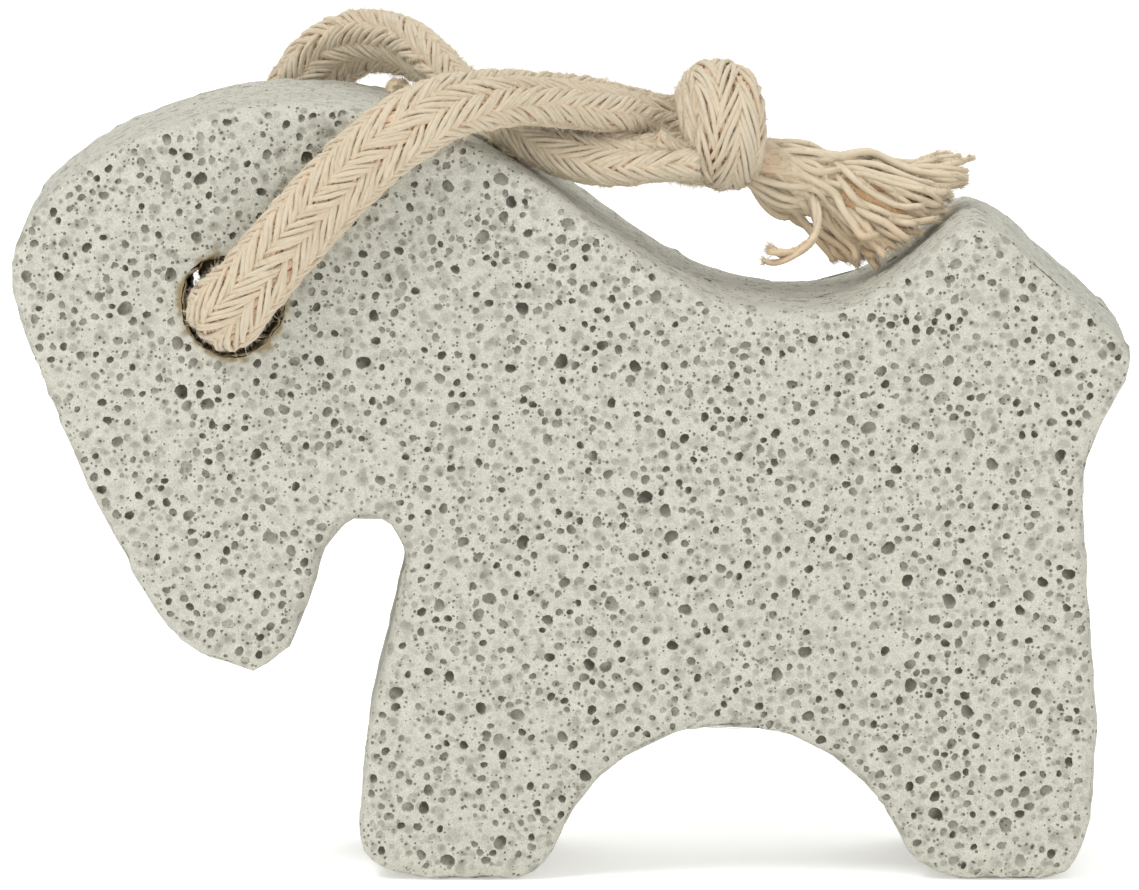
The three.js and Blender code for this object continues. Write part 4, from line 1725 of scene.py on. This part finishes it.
@dataclass
class Stone:
    """The pumice slab: two pitted faces, a pitted wall round the outline and the cord hole."""

    half_thickness_mm: float = 12.5
    edge_round_mm: float = 1.5
    outline_step_mm: float = 0.45
    hole_centre_mm: Pair = (-30.1, 52.1)
    hole_radius_mm: float = 4.5
    hole_round_mm: float = 0.15
    hole_sides: int = 96
    face_start: float = math.radians(38.0)
    rim_angles: tuple[float, ...] = (math.radians(52.0), math.radians(66.0), math.radians(80.0))
    wall_grid_mm: float = 1.25
    pore_gap_mm: float = 0.06
    rim_margin_mm: float = 0.08
    hole_land_mm: float = 0.4
    hole_clear_mm: float = 0.6
    fine_edge_mm: float = 0.13
    broad_edge_mm: float = 0.07
    chip_mm: float = 0.6
    chip_start: float = 0.45
    hole_ripple_mm: float = 0.2
    hole_crumb_mm: float = 0.09
    hole_seed: int = 29
    face_seed: int = 11
    wall_seed: int = 17
    softening_rounds: int = 4
    front_pores: tuple[PoreSize, ...] = (
        PoreSize(0.045, (0.46, 0.70), 10, ((0.91, 0.55), (0.60, 0.95)), 0.22, 0.55),
        PoreSize(0.070, (0.45, 0.85), 8, ((0.70, 0.55),), 0.0, 0.55, True),
        PoreSize(0.290, (0.32, 0.47), 8, ((0.84, 0.75),), 0.28, 0.52),
        PoreSize(0.180, (0.28, 0.50), 6, (), 0.0, 0.6, True),
        PoreSize(0.330, (0.20, 0.32), 6, (), 0.45, 0.40),
        PoreSize(0.200, (0.11, 0.20), 5, (), 0.7, 0.25),
    )
    back_pores: tuple[PoreSize, ...] = (
        PoreSize(0.055, (0.46, 0.72), 9, ((0.88, 0.65),), 0.25, 0.5),
        PoreSize(0.080, (0.45, 0.85), 8, (), 0.0, 0.55, True),
        PoreSize(0.220, (0.32, 0.48), 7, (), 0.3, 0.48),
        PoreSize(0.240, (0.20, 0.32), 5, (), 0.45, 0.40),
    )
    wall_pores: tuple[PoreSize, ...] = (
        PoreSize(0.018, (0.40, 0.70), 9, ((0.85, 0.60),)),
        PoreSize(0.075, (0.25, 0.42), 6, ()),
        PoreSize(0.130, (0.14, 0.26), 5, ()),
    )
    brow_mm: Pair = (-50.0, 55.0)
    stretches_mm: tuple = (
        ((-48.6, 59.2), (-45.0, 63.3), (-38.6, 67.0), (-30.0, 69.6), (-21.5, 70.0), (-12.4, 68.3)),
        ((-4.0, 63.8), (3.0, 58.7), (8.5, 55.0), (13.5, 52.6), (19.0, 51.6), (24.5, 52.0), (29.3, 54.5),
         (34.2, 58.5)),
        ((36.2, 59.5), (39.4, 57.9)),
        ((43.5, 54.3), (48.2, 50.2)),
        ((49.9, 48.3), (50.2, 46.3), (49.3, 44.1)),
        ((46.6, 38.8), (46.0, 34.5), (46.6, 24.6), (47.3, 14.6), (46.9, 6.5), (46.0, 2.8)),
        ((44.8, 0.8), (43.0, 0.0)),
        ((35.5, 0.0),),
        ((32.2, 0.9), (30.2, 2.8)),
        ((28.2, 6.5), (25.0, 10.3), (20.3, 12.8), (14.4, 13.9), (8.3, 12.8), (3.8, 10.2), (0.5, 6.5),
         (-1.4, 2.8)),
        ((-2.8, 0.9), (-4.8, 0.0)),
        ((-13.2, 0.0),),
        ((-17.4, 1.2), (-18.8, 3.0)),
        ((-18.7, 7.5), (-17.9, 14.5), (-16.3, 21.0), (-14.5, 29.4)),
        ((-15.7, 31.7), (-18.2, 32.9), (-20.6, 31.8), (-21.9, 29.9)),
        ((-22.6, 27.6), (-24.3, 22.8)),
        ((-25.6, 20.6), (-28.4, 18.9), (-31.0, 19.8), (-33.4, 20.4)),
        ((-36.8, 24.0), (-40.2, 30.0), (-43.8, 37.2), (-47.0, 44.9), (-49.3, 51.2), (-50.0, 55.0)),
    )
    edge_ripple: Ripple = Ripple(1.5, 51)
    chip_ripple: Ripple = Ripple(2.6, 6)
    wall_ripple: Ripple = Ripple(4.0, 8)

    def __post_init__(self) -> None:
        """Works out the outline, its normals and how far the rounded edge may reach in at each point."""
        self.outline, self.lengths = self.sampled_outline()
        forward = np.roll(self.outline, -1, axis=0) - np.roll(self.outline, 1, axis=0)
        tangents = unit(forward)
        self.normals = np.stack([tangents[:, 1], -tangents[:, 0]], axis=1)
        turn = np.roll(tangents, -1, axis=0) - np.roll(tangents, 1, axis=0)
        bend = np.sum(turn * -self.normals, axis=1) / (2.0 * self.outline_step_mm)
        for _ in range(self.softening_rounds):
            bend = (np.roll(bend, 1) + 2.0 * bend + np.roll(bend, -1)) / 4.0
        self.reach = self.edge_round_mm / (1.0 + self.edge_round_mm * np.maximum(bend, 0.0))

    def sampled_outline(self) -> tuple[Array, float]:
        """The outline in even steps, anticlockwise as seen from the front.

        Each stretch is a uniform Catmull-Rom curve, whose slope at an inner point is half the way from the
        point before to the point after. Rounds of averaging soften the corners between stretches.

        Returns:
            The points, and the outline's length.
        """
        curves = []
        start = self.brow_mm
        share = np.linspace(0.0, 1.0, 24, endpoint=False)[None, :, None]
        for stretch in self.stretches_mm:
            knots = np.array([start, *stretch])
            padded = np.concatenate([knots[:1], knots, knots[-1:]])
            slopes = (padded[2:] - padded[:-2]) / 2.0
            a, b = knots[:-1, None], knots[1:, None]
            da, db = slopes[:-1, None], slopes[1:, None]
            cubic = (2.0 * a - 2.0 * b + da + db) * share**3
            square = (3.0 * b - 3.0 * a - 2.0 * da - db) * share**2
            curves.append((cubic + square + da * share + a).reshape(-1, 2))
            start = stretch[-1]
        line = np.concatenate([*curves, [self.brow_mm]])[::-1]
        lengths = lengths_along(line)
        count = round(lengths[-1] / self.outline_step_mm)
        even = np.linspace(0.0, lengths[-1], count, endpoint=False)
        points = read_at(even, lengths, line)
        for _ in range(self.softening_rounds):
            points = (np.roll(points, 1, axis=0) + 2.0 * points + np.roll(points, -1, axis=0)) / 4.0
        return points, float(lengths_along(np.concatenate([points, points[:1]]))[-1])

    def inset_loop(self, angle: float) -> Array:
        """The outline moved in to where the rounded edge has turned by an angle from the wall."""
        return self.outline - self.normals * (self.reach * (1.0 - math.cos(angle)))[:, None]

    def edge_height(self, angle: float) -> float:
        """Distance from the middle plane where the rounded edge has turned by an angle from the wall."""
        return self.half_thickness_mm - self.edge_round_mm * (1.0 - math.sin(angle))

    def depth_inside(self, points: Array) -> Array:
        """How far points lie inside the outline, negative outside.

        The distance is to the nearest outline point. A point is inside where a ray towards +X crosses the
        outline an odd number of times.

        Args:
            points: X and Z of each point.

        Returns:
            The signed distance of each point.
        """
        ends = np.roll(self.outline, -1, axis=0)
        rise = ends[:, 1] - self.outline[:, 1]
        rise = np.where(rise == 0.0, 1e-12, rise)
        parts = []
        for part in in_parts(points, 2000):
            nearest = np.min(np.linalg.norm(part[:, None] - self.outline, axis=2), axis=1)
            above = part[:, None, 1] - self.outline[:, 1]
            straddles = (above < 0.0) != (part[:, None, 1] - ends[:, 1] < 0.0)
            crossing = self.outline[:, 0] + above / rise * (ends[:, 0] - self.outline[:, 0])
            odd = np.sum(straddles & (part[:, None, 0] < crossing), axis=1) % 2 == 1
            parts.append(np.where(odd, nearest, -nearest))
        return np.concatenate(parts)

    def from_hole(self, points: Array) -> Array:
        """Distance of points from the middle of the cord hole."""
        return np.linalg.norm(points - np.array(self.hole_centre_mm), axis=1)

    def hole_wear(self, turn: Array) -> Array:
        """The worn radius of the cord hole at each angle, as a share of the plain one."""
        broad = 0.025 * np.sin(3.0 * turn + 0.7) + 0.015 * np.sin(5.0 * turn + 2.1)
        return 1.0 + broad + 0.008 * np.sin(13.0 * turn) + 0.006 * np.sin(29.0 * turn + 1.3)

    def past_hole(self, points: Array) -> Array:
        """Distance of points from the middle of the cord hole, as a share of its worn mouth there."""
        turn = np.arctan2(*(points - np.array(self.hole_centre_mm)).T[::-1])
        return self.from_hole(points) / ((self.hole_radius_mm + self.hole_round_mm) * self.hole_wear(turn))

    def roughened(self, points: Array, inset: Array) -> Array:
        """Points moved in the plane of the outline by the worn, chipped edge and the uneven wall.

        Args:
            points: Positions.
            inset: How far each lies inside the outline.

        Returns:
            The moved positions.
        """
        height = np.abs(points[:, 1])
        edge = np.clip(1.0 - inset / self.edge_round_mm, 0.0, 1.0)
        near_rim = smoothstep(height, self.half_thickness_mm - 4.0, self.half_thickness_mm - 0.4)
        fine = self.fine_edge_mm * self.edge_ripple.at(points) * (0.25 + 0.75 * near_rim)
        chips = self.chip_mm * np.maximum(self.chip_ripple.at(points) - self.chip_start, 0.0) * near_rim
        broad = self.broad_edge_mm * self.wall_ripple.at(points)
        nearest = self.nearest_normal(points[:, [0, 2]])
        push = edge * (fine + broad - chips)
        move = push[:, None] * nearest
        return points + np.stack([move[:, 0], np.zeros(len(points)), move[:, 1]], axis=1)

    def nearest_normal(self, points: Array) -> Array:
        """Outward normal of the outline at its point nearest to each given one."""
        parts = [
            np.argmin(np.linalg.norm(part[:, None] - self.outline, axis=2), axis=1)
            for part in in_parts(points, 2000)
        ]
        return self.normals[np.concatenate(parts)]

    def face(self, face: Face) -> Surface:
        """One flat face with its pores and the outer part of its rounded edge.

        The height at a point is that of the slab less the drop of the rounded edge, a quarter circle in the
        distance from the outline, less the depth of the pore there.

        Args:
            face: Which face.

        Returns:
            The face in millimetres, facing out.
        """
        boundary = self.inset_loop(self.face_start)
        turn = TURN * np.arange(self.hole_sides) / self.hole_sides
        mouth = self.hole_radius_mm + self.hole_round_mm
        worn = (mouth * self.hole_wear(turn))[:, None]
        ring = np.array(self.hole_centre_mm) + worn * np.stack([np.cos(turn), np.sin(turn)], axis=1)
        margin = self.edge_round_mm * (1.0 - math.cos(self.face_start))
        low, high = self.outline.min(axis=0), self.outline.max(axis=0)

        def clearance(points: Array) -> Array:
            """Distance of points from the rounded edge or the land round the hole, whichever is nearer."""
            land = self.from_hole(points) - mouth - self.hole_land_mm
            return np.minimum(self.depth_inside(points) - margin, land)

        def on_face(points: Array) -> Array:
            """True for each point inside the edge loop and outside the mouth of the hole."""
            return (self.depth_inside(points) > 0.4 * margin) & (self.past_hole(points) > 0.998)

        pores = Pores.scattered(
            self.front_pores if face is Face.FRONT else self.back_pores,
            low,
            high - low,
            clearance,
            self.pore_gap_mm,
            seed=self.face_seed + face.value,
        )
        free = np.concatenate([self.inset_loop(angle)[::2] for angle in self.rim_angles])
        free = free[~pores.touches(free, self.rim_margin_mm)]
        free = free[self.from_hole(free) > mouth + self.hole_clear_mm]
        sheet = PittedSheet.cut([boundary, ring], free, pores, on_face)
        inset = np.maximum(self.depth_inside(sheet.points), 0.0)
        turned = np.clip(1.0 - inset / self.edge_round_mm, 0.0, 1.0)
        drop = self.edge_round_mm * (1.0 - np.sqrt(1.0 - turned**2))
        drop[: len(boundary)] = self.half_thickness_mm - self.edge_height(self.face_start)
        height = self.half_thickness_mm - drop - sheet.depths
        inset[: len(boundary)] = self.reach * (1.0 - math.cos(self.face_start))
        points = np.stack([sheet.points[:, 0], face.value * height, sheet.points[:, 1]], axis=1)
        triangles = sheet.triangles if face is Face.FRONT else sheet.triangles[:, ::-1]
        return self.sheet_surface(self.roughened(points, inset), triangles, sheet, 0.0)

    def wall(self) -> Surface:
        """The wall round the outline, unrolled to a strip, pitted and carried back along the outline.

        On the strip the first coordinate is the length along the outline and the second is Y. A point is the
        outline there, moved in by the drop of the rounded edge at its Y and by the depth of the pore.

        Returns:
            The wall in millimetres, facing out.
        """
        count = len(self.outline)
        along = np.linspace(0.0, self.lengths, count + 1)
        top = self.edge_height(self.face_start)
        straight = self.half_thickness_mm - self.edge_round_mm
        rows = np.arange(-straight, straight + 0.5 * self.wall_grid_mm, self.wall_grid_mm)
        loop = np.concatenate(
            [
                np.stack([along, np.full(count + 1, -top)], axis=1),
                np.stack([np.full(len(rows), self.lengths), rows], axis=1),
                np.stack([along[::-1], np.full(count + 1, top)], axis=1),
                np.stack([np.zeros(len(rows)), rows[::-1]], axis=1),
            ]
        )
        corner = np.array([0.0, -top])
        span = np.array([self.lengths, 2.0 * top])

        def edge_gap(points: Array) -> Array:
            """Distance of points from the nearest edge of the strip."""
            return np.min(np.concatenate([points - corner, corner + span - points], axis=1), axis=1)

        pores = Pores.scattered(self.wall_pores, corner, span, edge_gap, self.pore_gap_mm, self.wall_seed)
        grid = np.stack(np.meshgrid(along[2:-2:3], rows), axis=-1)
        grid[1::2, :, 0] += 0.5 * (along[3] - along[0])
        free = grid.reshape(-1, 2)
        free = free[(free[:, 0] < self.lengths - 0.3) & ~pores.touches(free, self.rim_margin_mm)]
        sheet = PittedSheet.cut([loop], free, pores, lambda points: np.ones(len(points), bool))
        share = sheet.points[:, 0]
        closed = np.concatenate([self.outline, self.outline[:1]])
        normals = np.concatenate([self.normals, self.normals[:1]])
        reach = np.interp(share, along, np.append(self.reach, self.reach[0]))
        base = read_at(share, along, closed)
        normal = unit(read_at(share, along, normals))
        beyond = np.clip((np.abs(sheet.points[:, 1]) - straight) / self.edge_round_mm, 0.0, 1.0)
        inset = reach * (1.0 - np.sqrt(1.0 - beyond**2))
        flat = base - normal * (inset + sheet.depths)[:, None]
        points = np.stack([flat[:, 0], sheet.points[:, 1], flat[:, 1]], axis=1)
        return self.sheet_surface(self.roughened(points, inset), sheet.triangles[:, ::-1], sheet, 1.0)

    def sheet_surface(self, points: Array, triangles: Array, sheet: PittedSheet, wall: float) -> Surface:
        """A pitted sheet in place, with the values that the finish and the sharp rims need."""
        values = {"hollow": sheet.tones, "rim": sheet.rims, "wall": np.full(len(points), wall)}
        return Surface(points, NO_QUADS, triangles, values)

    def hole(self) -> Surface:
        """The wall of the cord hole: a profile with rounded mouths carried round a circle.

        The profile runs from the front mouth to the back one. Its radius is that of the hole plus the drop
        of the rounding, times the wear at each angle, and the wall between the mouths is a little uneven.

        Returns:
            The wall in millimetres, facing the hole's axis.
        """
        turn = TURN * np.arange(self.hole_sides) / self.hole_sides
        angle = np.linspace(0.5 * math.pi, 0.0, 5)
        mouth_radius = self.hole_radius_mm + self.hole_round_mm * (1.0 - np.cos(angle))
        mouth_height = self.half_thickness_mm - self.hole_round_mm * (1.0 - np.sin(angle))
        middle = np.linspace(-mouth_height[-1], mouth_height[-1], 16)[1:-1]
        height = np.concatenate([-mouth_height, middle, mouth_height[::-1]])
        straight = np.full(len(middle), self.hole_radius_mm)
        radius = np.concatenate([mouth_radius, straight, mouth_radius[::-1]])
        worn = radius[:, None] * self.hole_wear(turn)
        x = self.hole_centre_mm[0] + worn * np.cos(turn)
        z = self.hole_centre_mm[1] + worn * np.sin(turn)
        points = np.stack([x, np.broadcast_to(height[:, None], x.shape), z], axis=-1)
        spoke = np.stack([np.cos(turn), np.zeros_like(turn), np.sin(turn)], axis=-1)
        rng = np.random.default_rng(self.hole_seed)
        crumbs = rng.uniform(-self.hole_crumb_mm, self.hole_crumb_mm, x.shape)
        uneven = self.hole_ripple_mm * self.edge_ripple.at(points) + crumbs
        uneven[[0, -1]] = 0.0
        points = (points + uneven[..., None] * spoke).reshape(-1, 3)
        index = np.arange(len(points)).reshape(len(height), self.hole_sides)
        turned = np.roll(index, -1, axis=1)
        quads = np.stack([index[:-1], index[1:], turned[1:], turned[:-1]], axis=-1).reshape(-1, 4)
        count = len(points)
        values = {"hollow": np.zeros(count), "rim": np.full(count, -1), "wall": np.ones(count)}
        return Surface(points, quads, NO_TRIANGLES, values)

    def build(self, finish: PumiceFinish) -> Piece:
        """Joins the sheets into one closed stone and keeps the rims of its pores sharp.

        Args:
            finish: Pumice finish.

        Returns:
            The stone.
        """
        sheets = [self.face(Face.FRONT), self.face(Face.BACK), self.wall(), self.hole()]
        first = 0
        for sheet in sheets:
            on_rim = sheet.values["rim"] >= 0
            sheet.values["rim"] = np.where(on_rim, sheet.values["rim"] + first, -1)
            first += sheet.values["rim"].max() + 1
        stone = Surface.joined(sheets).welded(1e-4)
        stone.points = stone.points * MM
        hole_x, hole_z = (value * MM for value in self.hole_centre_mm)
        material = finish.material((hole_x, 0.0, hole_z), self.hole_radius_mm * MM)
        piece = stone.to_object("pumice_slab", material, ["hollow", "wall"])
        ends = np.zeros(2 * len(piece.data.edges), np.int32)
        piece.data.edges.foreach_get("vertices", ends)
        rims = stone.values["rim"][ends.reshape(-1, 2)]
        sharp = (rims[:, 0] >= 0) & (rims[:, 0] == rims[:, 1])
        piece.data.edges.foreach_set("use_edge_sharp", sharp)
        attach(piece, BODY)
        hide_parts("stone")
        return piece


def report(piece: Piece) -> None:
    """Logs a piece's name and its number of triangles.

    Args:
        piece: The piece.
    """
    sizes = np.zeros(len(piece.data.polygons), np.int32)
    piece.data.polygons.foreach_get("loop_total", sizes)
    log.info("%s: %d triangles", piece.name, int(np.sum(sizes - 2)))


def main() -> None:
    """Builds the studio, the cord with its knot and tassel, and the stone."""
    logging.basicConfig(level=logging.INFO, format="%(name)s %(message)s")
    studio = Studio()
    studio.place_camera()
    braid_cotton = CottonFinish(
        "cotton_braid", light=(0.61, 0.54, 0.415, 1.0), dull=(0.545, 0.46, 0.335, 1.0)
    ).material()
    yarn_cotton = CottonFinish(
        "cotton_yarn", light=(0.68, 0.605, 0.46, 1.0), dull=(0.60, 0.505, 0.36, 1.0)
    ).material()
    loop = CordLoop()
    cord, *cord_pieces = loop.build(braid_cotton, yarn_cotton)
    knot_pieces = Knot().build(braid_cotton, yarn_cotton)
    tassel_pieces = Tassel().build(yarn_cotton)
    loop.declare()
    stone = Stone().build(PumiceFinish())
    studio.light()
    studio.lay_floor()
    for piece in (cord, *cord_pieces, *knot_pieces, *tassel_pieces, stone):
        report(piece)


if __name__ == "__main__":
    main()
